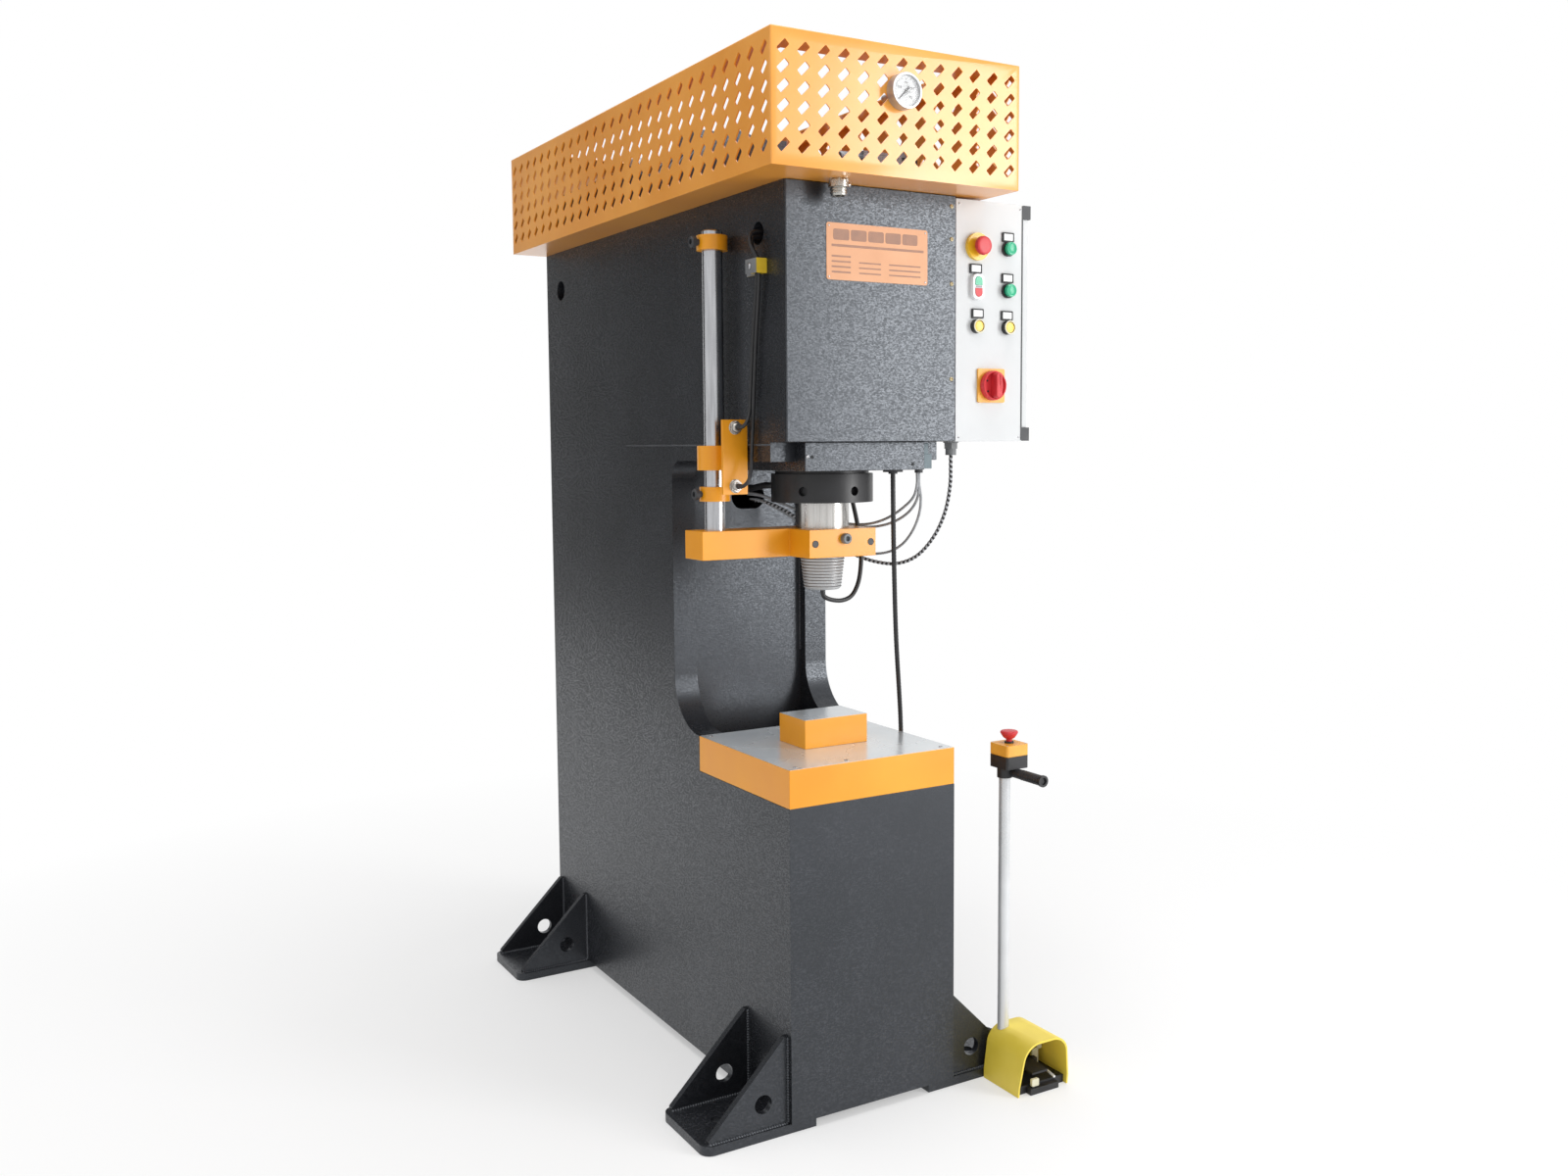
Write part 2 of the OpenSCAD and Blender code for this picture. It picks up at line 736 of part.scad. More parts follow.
// A long wall of the cover; lean is the side its slots' tops lean to along Y
module cover_side(x, lean) {
  color("orange") translate([x, (cover_y0 + cover_y1) / 2, cover_z0]) standing_yz(sheet_t)
    difference() {
      translate([-cover_len / 2 + sheet_t, 0]) square([cover_len - 2 * sheet_t, cover_h - sheet_t]);
      scale([lean, 1]) slot_field(cover_len, slot_pitch_side);
    }
}

module cover_left() { cover_side(cover_x0, -1); }
module cover_right() { cover_side(cover_x1 - sheet_t, 1); }

module cover_flange() {
  color("orange") translate([cover_x0, cover_y0, cover_z1 - sheet_t]) linear_extrude(sheet_t)
    difference() {
      square([cover_wid, cover_len]);
      translate([flange_side, flange_end])
        square([cover_wid - 2 * flange_side, cover_len - 2 * flange_end]);
    }
}

module cover_floor() {
  color("orange") translate([cover_x0 + sheet_t, cover_y0 + sheet_t, cover_z0])
    cube([cover_wid - 2 * sheet_t, cover_len - 2 * sheet_t, floor_t]);
}

// ---- power unit ----

module oil_tank() {
  color("dimgray") translate([-side + 20, 190, floor_z]) union() {
    cube([2 * side - 40, back - 190 - 40, 150]);
    translate([80, 90, 150]) cylinder(d = 60, h = 30);
    translate([280, 90, 150]) cylinder(d = 36, h = 14);
  }
}

motor_d = 170;
motor_x = -60;
motor_z = floor_z + motor_d / 2 + 12;

// A foot-mounted motor with cooling fins, its flange and the gear pump in front
module pump_motor() {
  color("dimgray") translate([motor_x, 0, motor_z]) union() {
    translate([0, 150, 0]) toward_front(motor_d - 16, 320);
    for (i = [0 : 9]) translate([0, 130 - 26 * i, 0]) toward_front(motor_d, 8);
    translate([0, -170, 0]) toward_front(motor_d + 20, 14);
    translate([0, -184, 0]) toward_front(120, 80);
    translate([-40, -340, -45]) cube([80, 80, 90]);
    translate([-50, -60, motor_d / 2 - 20]) cube([100, 110, 52]);
    for (y = [-120, 90]) translate([-80, y, floor_z - motor_z]) cube([160, 30, motor_z - floor_z - 60]);
  }
}

// A drilled manifold with two solenoid valves lying across its top
module valve_block() {
  color("slategray") translate([70, -520, floor_z]) union() {
    cube([120, 200, 60]);
    for (y = [20, 110]) {
      translate([10, y, 60]) cube([100, 60, 44]);
      translate([-40, y + 30, 84]) rotate([0, 90, 0]) cylinder(d = 40, h = 50);
      translate([110, y + 30, 84]) rotate([0, 90, 0]) cylinder(d = 40, h = 50);
    }
  }
}

// ---- pressure gauge ----

dial_recess = 7;

module gauge_case() {
  color("silver") translate([gauge_x, cover_y0, gauge_z]) difference() {
    union() {
      toward_front(gauge_d, gauge_out);
      translate([0, 60, 0]) toward_front(gauge_hole_d - 1, 60 + cut);
      translate([0, sheet_t + 12, 0]) toward_front(26, 12);
    }
    translate([0, dial_recess - gauge_out, 0]) toward_front(gauge_d - 10, dial_recess + cut);
    translate([0, dial_recess - gauge_out + 3, 0]) toward_front(5 + 2 * run_gap, 4);
  }
}

// Points down to the left at rest, where the scale starts
module gauge_needle() {
  color("black") translate([gauge_x, cover_y0 - gauge_out + dial_recess, gauge_z]) union() {
    translate([0, 2.5, 0]) toward_front(5, 4.5);
    rotate([0, -135, 0]) translate([0, -0.5, 0]) rotate([90, 0, 0]) linear_extrude(1.5)
      polygon([[-2, -11], [2, -11], [0.5, 26], [-0.5, 26]]);
  }
}

// ---- control cabinet ----

// Pushed-out shapes of the twin button's two halves, clear = gap all round
module twin_half(s, clear = 0) {
  intersection() {
    stadium(20 - 2 * clear, 44 - 2 * clear);
    translate([-12, s > 0 ? 3 + clear : -30]) square([24, 27 - clear]);
  }
}

module cabinet_body() {
  color("gainsboro") translate([cab_x0, front, cab_z0]) difference() {
    cube([cabinet_w, cabinet_d, cabinet_h]);
    translate([cabinet_t, cabinet_t, cabinet_t])
      cube([cabinet_w, cabinet_d - 2 * cabinet_t, cabinet_h - 2 * cabinet_t]);
    for (p = [[button_left, estop_z], [button_right, estop_z], [button_right, cycle_z],
        [button_left, yellow_z], [button_right, yellow_z], [switch_x, switch_z]])
      translate([p[0] - cab_x0, cabinet_t + cut, p[1] - cab_z0])
        toward_front(stem_d + 4, cabinet_t + 2 * cut);
    translate([button_left - cab_x0, -cut, twin_z - cab_z0]) standing_xz(cabinet_t + 2 * cut)
      stadium(24, 48);
    translate([gland_x - cab_x0, gland_y - front, -cut]) cylinder(d = 20, h = cabinet_t + 2 * cut);
  }
  color("gainsboro") hinge_lug(cab_z1, 1);
  color("gainsboro") hinge_lug(cab_z0, -1);
}

// A plate over the door's corner with a pin that stands in the corner's bore
module hinge_lug(z, s) {
  translate([hinge_x, hinge_y, z]) mirror([0, 0, s < 0 ? 1 : 0]) union() {
    translate([-40, -6, 0]) cube([46, 8.5, 3]);
    translate([0, 0, -12]) cylinder(d = hinge_pin_d, h = 12 + cut);
  }
}

// The side door's slab with its recessed pull
module cabinet_door() {
  color("gainsboro") difference() {
    translate([door_x, front + corner_lip, cab_z0 + corner_lip])
      cube([door_t, cabinet_d - 2 * corner_lip, cabinet_h - 2 * corner_lip]);
    for (y = [front, cab_y1 - corner_w], z = [cab_z0, cab_z1 - corner_h])
      translate([door_x - cut, y, z]) cube([door_t + 2 * cut, corner_w, corner_h]);
    translate([door_x + door_t - 8, front + 40, cab_z0 + cabinet_h / 2 - 60]) cube([8 + cut, 22, 120]);
  }
}

// Solid plastic corners of the door frame; the two rear ones take the hinge pins
module door_corners() {
  color("dimgray") difference() {
    for (y = [front, cab_y1 - corner_w], z = [cab_z0 + door_gap, cab_z1 - corner_h])
      translate([door_x, y, z]) cube([corner_t - door_gap, corner_w, corner_h - door_gap]);
    for (z = [cab_z0, cab_z1]) translate([hinge_x, hinge_y, z - 13])
      cylinder(d = hinge_pin_d + 2 * run_gap, h = 26);
  }
}

// One round bezel with its bore
module bezel(x, z, d, t, bore) {
  translate([x, front, z]) difference() {
    toward_front(d, t);
    translate([0, cut, 0]) toward_front(bore, t + 2 * cut);
  }
}

module button_bezels() {
  color("gold") bezel(button_left, estop_z, 58, 9, stem_d + 2 * air_gap);
  color("black") for (z = [estop_z, cycle_z]) bezel(button_right, z, 31, 6, button_d + 2 * air_gap);
  color("black") for (x = [button_left, button_right]) bezel(x, yellow_z, 30, 13, button_d - 2 + 2 * air_gap);
  color("white") translate([button_left, front - bezel_t, twin_z]) standing_xz(bezel_t) difference() {
    round_rect(30, 54, 11);
    for (s = [-1, 1]) twin_half(s);
  }
  color("gold") translate([switch_x, front - 5, switch_z]) standing_xz(5) difference() {
    round_rect(switch_side, switch_side, 4);
    circle(d = 14 + 2 * air_gap);
  }
}

// A push button: a cap in its bezel and a stem through the cabinet's wall
module push_button(x, z, d, proud, shade) {
  color(shade) translate([x, front, z]) union() {
    translate([0, -press - 1, 0]) toward_front(d, proud - press - 1);
    translate([0, stem_back, 0]) toward_front(stem_d - 2, stem_back + press + 2);
  }
}

module start_button() { push_button(button_right, estop_z, button_d, 18, "green"); }
module cycle_button() { push_button(button_right, cycle_z, button_d, 18, "green"); }
module left_yellow_button() { push_button(button_left, yellow_z, button_d - 2, 13, "gold"); }
module right_yellow_button() { push_button(button_right, yellow_z, button_d - 2, 13, "gold"); }

module estop_button() {
  color("red") translate([button_left, front, estop_z]) union() {
    translate([0, stem_back, 0]) toward_front(stem_d, stem_back + 20);
    translate([0, -9 - estop_press - 1, 0]) toward_front(estop_d, 15);
  }
}

module twin_button(s, shade) {
  color(shade) translate([button_left, front, twin_z]) union() {
    translate([0, -bezel_t - 1, 0]) standing_xz(bezel_t - press) twin_half(s, air_gap);
    translate([0, stem_back, s * 12]) toward_front(12, stem_back + press + 2);
  }
}

module twin_button_green() { twin_button(1, "green"); }
module twin_button_red() { twin_button(-1, "red"); }

handle_d = 64;

// A red disc with a grip bar, turning on its spindle
module switch_handle() {
  color("red") translate([switch_x, front, switch_z]) union() {
    translate([0, stem_back, 0]) toward_front(14, stem_back + 8);
    translate([0, -5 - air_gap, 0]) toward_front(handle_d, 14);
    translate([-8, -34, -27]) cube([16, 16, 54]);
  }
}

// ---- glands and cords ----

// One hexagon gland hanging under a plate, its top face at z = 0
module hanging_gland(across, hex_h, nose, nose_h, bore) {
  difference() {
    union() {
      translate([0, 0, -hex_h]) cylinder(d = across / cos(30), h = hex_h, $fn = 6);
      translate([0, 0, -hex_h - nose_h]) cylinder(d = nose, h = nose_h + cut);
    }
    translate([0, 0, -hex_h - nose_h - cut]) cylinder(d = bore, h = nose_h + cut);
  }
}

module cable_glands() {
  color("silver") {
    translate([gland_x, gland_y, cab_z0]) hanging_gland(27, 16, 24, 14, 9);
    translate([block_gland[0], block_gland[1], block_z]) union() {
      translate([0, 0, -6]) cylinder(d = 44, h = 6);
      translate([0, 0, -10]) cylinder(d = 20, h = 5);
    }
    translate([grey_gland[0], grey_gland[1], throat_roof - 28]) cylinder(d = 18, h = 28);
    translate([cover_nipple[0], cover_nipple[1], cover_z0]) hanging_gland(36, 18, 33, 28, 24);
  }
}

module spiral_conduit() { color("gray") cord(spiral_path, 9, [1, 0, 0]); }
module grey_cables() { color("darkgray") cord(grey_path, 6, [1, 0, 0]); }
module nose_hose() { color("black") cord(nose_hose_path, 10, [0, 1, 0]); }
module ring_hose() { color("black") cord(ring_hose_path, 15, [0, 0, 1]); }
module pedal_conduit() { color("black") cord(pedal_conduit_path, 11, [1, 0, 0]); }

// ---- pedal station ----

// The guard's outline: upright sides that lean in a little, with a wide round top
module guard_2d(inset = 0) {
  top_r = 44 - inset;
  hull() {
    translate([-guard_w / 2 + inset, 0]) square([guard_w - 2 * inset, tray_t + 4]);
    for (s = [-1, 1]) translate([s * (guard_w / 2 - 8 - 44), guard_h - 44]) circle(r = top_r);
  }
}

// The tray on the floor, with a front lip and two ears for the treadle's pin
module pedal_base() {
  color("black") translate([guard_x, guard_y0, 0]) difference() {
    union() {
      translate([-guard_w / 2 + guard_t + 0.5, 10, 0])
        cube([guard_w - 2 * guard_t - 1, guard_d - 10 - guard_t - 0.5, tray_t]);
      translate([-40, -6, 0]) cube([80, 17, 14]);
      for (s = [-1, 1]) translate([s * 30 - 5, treadle_pin_y - 7, tray_t - cut]) cube([10, 14, 28]);
    }
    translate([-40, treadle_pin_y, treadle_pin_z]) rotate([0, 90, 0])
      cylinder(d = treadle_pin_d + 2 * run_gap, h = 80);
  }
}

// The guard, whose mouth leans forward so that its top reaches out over the toe
module pedal_guard() {
  color("gold") translate([guard_x, guard_y0 - guard_flare, 0]) difference() {
    standing_xz(guard_d + guard_flare) guard_2d();
    translate([0, -cut, -cut]) standing_xz(guard_d + guard_flare - guard_t + cut) guard_2d(guard_t);
    translate([pole_x - guard_x, pole_y - guard_y0 + guard_flare, guard_h - 30])
      cylinder(d = pole_d + 1, h = 60);
    translate([0, guard_flare, 0]) rotate([atan(guard_flare / guard_h), 0, 0])
      translate([-guard_w, -guard_d, -guard_h]) cube([2 * guard_w, guard_d, 3 * guard_h]);
  }
}

treadle_pin_d = 8;
treadle_pin_y = 69;
treadle_pin_z = 38;

module pedal_treadle() {
  color("black") translate([guard_x, guard_y0 + treadle_pin_y, treadle_pin_z]) union() {
    rotate([0, 90, 0]) translate([0, 0, -34]) cylinder(d = treadle_pin_d, h = 68);
    translate([-22, -58, -2]) rotate([4, 0, 0]) cube([44, 62, 5]);
  }
}

module pedal_pole() {
  color("silver") translate([pole_x, pole_y, tray_t]) difference() {
    cylinder(d = pole_d, h = pole_top - tray_t);
    translate([0, 0, -cut]) cylinder(d = pole_d - 5, h = pole_top - tray_t + 2 * cut);
  }
}

button_collar_d = 21;
pole_stem_d = 14;
handle_tube_d = 22;
handle_reach = 118;

// The switch box with its lid, the neck that clamps the pole and the side handle
module pole_box() {
  color("black") translate([box_x, pole_y, 0]) difference() {
    union() {
      translate([pole_x - box_x, 0, pole_top - neck_drop])
        cylinder(d = pole_d + 8, h = neck_drop + box_z - pole_top + cut);
      translate([0, 0, box_z]) linear_extrude(box_h) round_rect(pole_box_w, pole_box_w, 6);
      translate([0, 0, box_z + box_h + lid_seam]) linear_extrude(lid_h - lid_seam)
        round_rect(pole_box_w, pole_box_w, 6);
      translate([0, 0, box_z + box_h - cut]) linear_extrude(lid_seam + 2 * cut)
        round_rect(pole_box_w - 4, pole_box_w - 4, 5);
      translate([0, 0, box_z + box_h + lid_h - cut]) cylinder(d = button_collar_d, h = collar_rise + cut);
      translate([0, 0, handle_z]) toward_front(handle_tube_d, handle_reach);
      translate([0, -handle_reach + 5, handle_z]) toward_front(handle_tube_d + 4, 5);
    }
    translate([pole_x - box_x, 0, pole_top - neck_drop - cut])
      cylinder(d = pole_d + 2 * run_gap, h = neck_drop + cut);
    translate([0, -pole_d / 2 - 8, handle_z]) toward_front(handle_tube_d - 6, handle_reach);
    translate([0, 0, box_z + 10]) cylinder(d = pole_stem_d + 2 * air_gap, h = 80);
  }
}

lid_seam = 1.5;
handle_z = box_z - 10;
pole_button_z = box_z + box_h + lid_h + collar_rise;

// A mushroom head, wide on top, on its stem
module pole_estop() {
  color("red") translate([box_x, pole_y, pole_button_z]) rotate_extrude()
    polygon([[0, -36], [pole_stem_d / 2, -36], [pole_stem_d / 2, estop_press],
      [10, estop_press + 0.5], [13.5, estop_press + 8], [19.5, estop_press + 13],
      [20, estop_press + 15.5], [17, estop_press + 18], [0, estop_press + 19]]);
}

left_side_plate();
right_side_plate();
throat_web();
back_plate();
pedestal_front_plate();
head_front_panel();
cylinder_mount_block();
table_plate();
die_block();
foot_front_left();
foot_front_right();
foot_rear_left();
foot_rear_right();
cylinder_barrel();
ring_nut();
ram_rod();
antirotation_arm();
arm_screws();
guide_rod();
stop_collars();
guide_bracket();
sensor_plate();
limit_sensors();
cable_clamp();
sensor_cable();
cover_front();
cover_rear();
cover_left();
cover_right();
cover_flange();
cover_floor();
oil_tank();
pump_motor();
valve_block();
gauge_case();
gauge_needle();
cabinet_body();
cabinet_door();
door_corners();
button_bezels();
estop_button();
start_button();
cycle_button();
twin_button_green();
twin_button_red();
left_yellow_button();
right_yellow_button();
switch_handle();
cable_glands();
spiral_conduit();
grey_cables();
nose_hose();
ring_hose();
pedal_conduit();
pedal_base();
pedal_guard();
pedal_treadle();
pedal_pole();
pole_box();
pole_estop();
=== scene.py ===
import math

import bpy
from mathutils import Matrix, Vector


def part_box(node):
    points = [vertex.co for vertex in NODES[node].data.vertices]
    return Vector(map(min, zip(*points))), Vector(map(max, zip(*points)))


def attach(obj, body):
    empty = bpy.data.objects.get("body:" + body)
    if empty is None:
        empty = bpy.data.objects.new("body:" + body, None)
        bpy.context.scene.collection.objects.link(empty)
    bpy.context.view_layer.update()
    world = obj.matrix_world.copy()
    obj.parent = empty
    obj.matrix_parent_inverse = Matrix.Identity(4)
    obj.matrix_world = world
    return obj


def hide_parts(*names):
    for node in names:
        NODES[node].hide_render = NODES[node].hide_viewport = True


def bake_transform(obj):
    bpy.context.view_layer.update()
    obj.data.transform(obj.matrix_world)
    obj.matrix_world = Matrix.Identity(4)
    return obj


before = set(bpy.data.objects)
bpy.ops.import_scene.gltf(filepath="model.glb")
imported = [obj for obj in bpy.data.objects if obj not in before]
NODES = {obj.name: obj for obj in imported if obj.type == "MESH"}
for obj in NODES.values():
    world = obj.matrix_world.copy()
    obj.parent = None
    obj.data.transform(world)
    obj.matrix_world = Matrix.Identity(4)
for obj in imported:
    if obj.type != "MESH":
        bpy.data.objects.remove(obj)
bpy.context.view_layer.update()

X, Y, Z = Vector((1, 0, 0)), Vector((0, 1, 0)), Vector((0, 0, 1))
FRONT, BACK, LEFT, RIGHT, UP, DOWN = -Y, Y, -X, X, Z, -Z


def mm(*values):
    """A place or size in millimetres, as metres."""
    return Vector(values) / 1000 if len(values) > 1 else values[0] / 1000


# ---- camera and lights ----

CAMERA_PLACE = (-1.6289, -3.0899, 1.4380)
CAMERA_TURN = (30.797, -4.962, -0.366)  # yaw to the right, pitch upwards and roll, in degrees
VIEW_WIDTH, VIEW_DISTANCE, VIEW_SHIFT = 1600, 1430.1, (-17.3, -22.5)
FILM_WIDTH = 36


def aim_camera():
    yaw, pitch, roll = (math.radians(angle) for angle in CAMERA_TURN)
    ahead = Vector((math.sin(yaw) * math.cos(pitch), math.cos(yaw) * math.cos(pitch), math.sin(pitch)))
    level = Vector((math.cos(yaw), -math.sin(yaw), 0))
    upright = level.cross(ahead)
    across = level * math.cos(roll) + upright * math.sin(roll)
    rise = upright * math.cos(roll) - level * math.sin(roll)
    bpy.ops.object.camera_add()
    camera = bpy.context.object
    camera.name = "camera"
    turn = Matrix((across, rise, -ahead)).transposed().to_4x4()
    camera.matrix_world = Matrix.Translation(CAMERA_PLACE) @ turn
    camera.data.sensor_width = FILM_WIDTH
    camera.data.lens = VIEW_DISTANCE / VIEW_WIDTH * FILM_WIDTH
    camera.data.shift_x = VIEW_SHIFT[0] / VIEW_WIDTH
    camera.data.shift_y = VIEW_SHIFT[1] / VIEW_WIDTH
    camera.data.clip_end = 60
    bpy.context.scene.camera = camera


def soft_light(name, place, target, width, height, power):
    bpy.ops.object.light_add(type="AREA", location=place)
    lamp = bpy.context.object
    lamp.name = name
    lamp.rotation_euler = (Vector(target) - Vector(place)).to_track_quat("-Z", "Y").to_euler()
    lamp.data.shape = "RECTANGLE"
    lamp.data.size = width
    lamp.data.size_y = height
    lamp.data.energy = power
    lamp.visible_camera = False


def seen_directly(tree):
    """One for rays from the camera, also by way of a mirror or glass, and nought for those that only light."""
    path = tree.nodes.new("ShaderNodeLightPath")
    seen = path.outputs["Is Camera Ray"]
    for other in ("Is Glossy Ray", "Is Transmission Ray"):
        either = tree.nodes.new("ShaderNodeMath")
        either.operation = "MAXIMUM"
        tree.links.new(seen, either.inputs[0])
        tree.links.new(path.outputs[other], either.inputs[1])
        seen = either.outputs[0]
    return seen


def light_world():
    """A white background that lights the press at less than its full strength."""
    world = bpy.data.worlds.new("studio")
    bpy.context.scene.world = world
    world.use_nodes = True
    tree = world.node_tree
    background = tree.nodes["Background"]
    background.inputs["Color"].default_value = (1, 1, 1, 1)
    level = tree.nodes.new("ShaderNodeMapRange")
    level.inputs["To Min"].default_value = 0.70
    level.inputs["To Max"].default_value = 1.0
    tree.links.new(seen_directly(tree), level.inputs["Value"])
    tree.links.new(level.outputs["Result"], background.inputs["Strength"])


def shade_card():
    """A dark card on the left, seen only in reflections, as in a studio."""
    middle, along, upright = Vector((-2.075, 4.5, 2.4)), Vector((-0.65, 7.0, 0)), Vector((0, 0, 4.2))
    bpy.ops.mesh.primitive_plane_add(size=1)
    card = bpy.context.object
    card.name = "shade_card"
    for vertex in card.data.vertices:
        vertex.co = middle + along * vertex.co.x + upright * vertex.co.y
    material = bpy.data.materials.new("shade_card")
    material.use_nodes = True
    shader = material.node_tree.nodes["Principled BSDF"]
    shader.inputs["Base Color"].default_value = (0.03, 0.03, 0.03, 1)
    shader.inputs["Roughness"].default_value = 0.9
    card.data.materials.append(material)
    card.visible_camera = card.visible_diffuse = card.visible_shadow = False


aim_camera()
light_world()
shade_card()
soft_light("key_light", (3.25, -4.5, 1.95), (0, -0.6, 1.5), 1.7, 3.3, 165)
soft_light("top_light", (-0.3, -0.8, 5.0), (0, -0.2, 1.0), 3.0, 3.0, 90)
bpy.context.scene.view_settings.view_transform = "Standard"


# ---- shaping tools ----

SHARP = 32           # degrees: edges that turn further than this stay sharp or are rounded off
FLAT = 0.4           # degrees: faces that turn less than this count as one
MERGE = 2e-6         # how near each other doubled corners lie
TURNED_EDGE = 0.0006  # the small chamfer at the ends of rods and nuts


def take(piece):
    bpy.ops.object.select_all(action="DESELECT")
    piece.select_set(True)
    bpy.context.view_layer.objects.active = piece
    return piece


def settle(piece, name):
    """Moves a new piece's place into its mesh and names it."""
    take(piece)
    bpy.ops.object.transform_apply(location=True, rotation=True, scale=True)
    piece.name = name
    piece.data.name = name
    return piece


def apply_modifiers(piece):
    take(piece)
    for modifier in list(piece.modifiers):
        bpy.ops.object.modifier_apply(modifier=modifier.name)
    return piece


def mend(piece, merge=MERGE, whole=False, outwards=True):
    """Merges doubled corners, and if asked makes flat faces whole and turns all faces outwards."""
    take(piece)
    bpy.ops.object.mode_set(mode="EDIT")
    bpy.ops.mesh.select_all(action="SELECT")
    bpy.ops.mesh.remove_doubles(threshold=merge)
    if whole:
        bpy.ops.mesh.dissolve_limited(angle_limit=math.radians(FLAT))
    if outwards:
        bpy.ops.mesh.normals_make_consistent(inside=False)
    bpy.ops.object.mode_set(mode="OBJECT")
    return piece


def smooth(piece, degrees=SHARP):
    take(piece)
    bpy.ops.object.shade_smooth_by_angle(angle=math.radians(degrees))
    return piece


def level_normals(piece):
    """Lets the large flat faces lead the shading, so that they stay flat."""
    weighted = piece.modifiers.new("normals", "WEIGHTED_NORMAL")
    weighted.keep_sharp = True
    return apply_modifiers(piece)


def round_edges(piece, width, segments=2, degrees=SHARP):
    bevel = piece.modifiers.new("rounding", "BEVEL")
    bevel.width = width
    bevel.segments = segments
    bevel.limit_method = "ANGLE"
    bevel.angle_limit = math.radians(degrees)
    return level_normals(smooth(apply_modifiers(piece), degrees))


def bevel_where(piece, test, width, segments):
    """Bevels the edges whose two ends pass the test."""
    take(piece)
    bpy.ops.object.mode_set(mode="EDIT")
    bpy.ops.mesh.select_mode(type="EDGE")
    bpy.ops.mesh.select_all(action="DESELECT")
    bpy.ops.object.mode_set(mode="OBJECT")
    mesh = piece.data
    for edge in mesh.edges:
        edge.select = test(*(mesh.vertices[i].co for i in edge.vertices))
    bpy.ops.object.mode_set(mode="EDIT")
    bpy.ops.mesh.bevel(offset=width, segments=segments, affect="EDGES")
    bpy.ops.object.mode_set(mode="OBJECT")
    return piece


def blank(name, low, high):
    """A sharp box between two corners, to be shaped further."""
    low, high = Vector(low), Vector(high)
    bpy.ops.mesh.primitive_cube_add(size=1, location=(low + high) / 2, scale=high - low)
    return settle(bpy.context.object, name)


def block(name, low, high, edge=0.001):
    return round_edges(blank(name, low, high), edge)


def plate(name, low, high, axis, corner, edge=0.0006, segments=6):
    """A block whose corners along one axis are well rounded."""
    piece = blank(name, low, high)
    bevel_where(piece, lambda a, b: abs((b - a).normalized().dot(axis)) > 0.99, corner, segments)
    return round_edges(piece, edge, 2, 40)


def turned(name, base, axis, rings, sides=48, degrees=SHARP):
    """A turned piece: each ring is its distance along the axis and its radius."""
    base, axis = Vector(base), Vector(axis).normalized()
    start, radius = rings[0]
    bpy.ops.mesh.primitive_circle_add(
        vertices=sides, radius=radius, fill_type="NGON",
        location=base + axis * start, rotation=axis.to_track_quat("Z", "Y").to_euler())
    piece = settle(bpy.context.object, name)
    bpy.ops.object.mode_set(mode="EDIT")
    bpy.ops.mesh.select_mode(type="FACE")
    bpy.ops.mesh.select_all(action="SELECT")
    for (from_, old), (to, new) in zip(rings, rings[1:]):
        bpy.ops.mesh.extrude_region_move(TRANSFORM_OT_translate={"value": axis * (to - from_)})
        bpy.ops.transform.resize(value=(new / old,) * 3, center_override=base + axis * to)
    bpy.ops.object.mode_set(mode="OBJECT")
    return smooth(mend(piece), degrees)


def chamfered(name, base, axis, radius, reach, sides, degrees=SHARP):
    """A straight bar whose two ends are turned down a little."""
    return turned(name, base, axis, [
        (0, radius - TURNED_EDGE), (TURNED_EDGE, radius),
        (reach - TURNED_EDGE, radius), (reach, radius - TURNED_EDGE)], sides, degrees)


def hexagon(name, base, axis, across, height):
    """A hexagon nut or head, measured across its flats."""
    return chamfered(name, base, axis, across / math.sqrt(3), height, 6, 20)


def rod(name, start, end, radius):
    start, end = Vector(start), Vector(end)
    return chamfered(name, start, end - start, radius, (end - start).length, 32)


def join(name, pieces):
    take(pieces[0])
    for piece in pieces[1:]:
        piece.select_set(True)
    bpy.ops.object.join()
    joined = bpy.context.object
    joined.name = name
    joined.data.name = name
    return joined


def combine(piece, other, operation):
    modifier = piece.modifiers.new("combine", "BOOLEAN")
    modifier.operation = operation
    modifier.solver = "EXACT"
    modifier.object = other
    apply_modifiers(piece)
    bpy.data.objects.remove(other)
    return piece


def cut_away(piece, tool):
    """Takes the tool's shape out of the piece."""
    return combine(piece, tool, "DIFFERENCE")


def copied(node, name):
    """A merged copy of a CAD node's mesh, with its flat faces whole."""
    piece = bpy.data.objects.new(name, NODES[node].data.copy())
    bpy.context.collection.objects.link(piece)
    piece.data.name = name
    piece.data.materials.clear()
    take(piece)
    if piece.data.has_custom_normals:
        bpy.ops.mesh.customdata_custom_splitnormals_clear()
    return mend(piece, whole=True)


def united(nodes, name):
    """One skin over several CAD nodes that are welded together."""
    piece = copied(nodes[0], name)
    for node in nodes[1:]:
        combine(piece, copied(node, node + "_part"), "UNION")
    return mend(piece, merge=1e-5, whole=True, outwards=False)


# ---- finishes ----

FINISHES = {}


def srgb(red, green, blue):
    def linear(value):
        value /= 255
        return value / 12.92 if value <= 0.04045 else ((value + 0.055) / 1.055) ** 2.4
    return (linear(red), linear(green), linear(blue), 1)


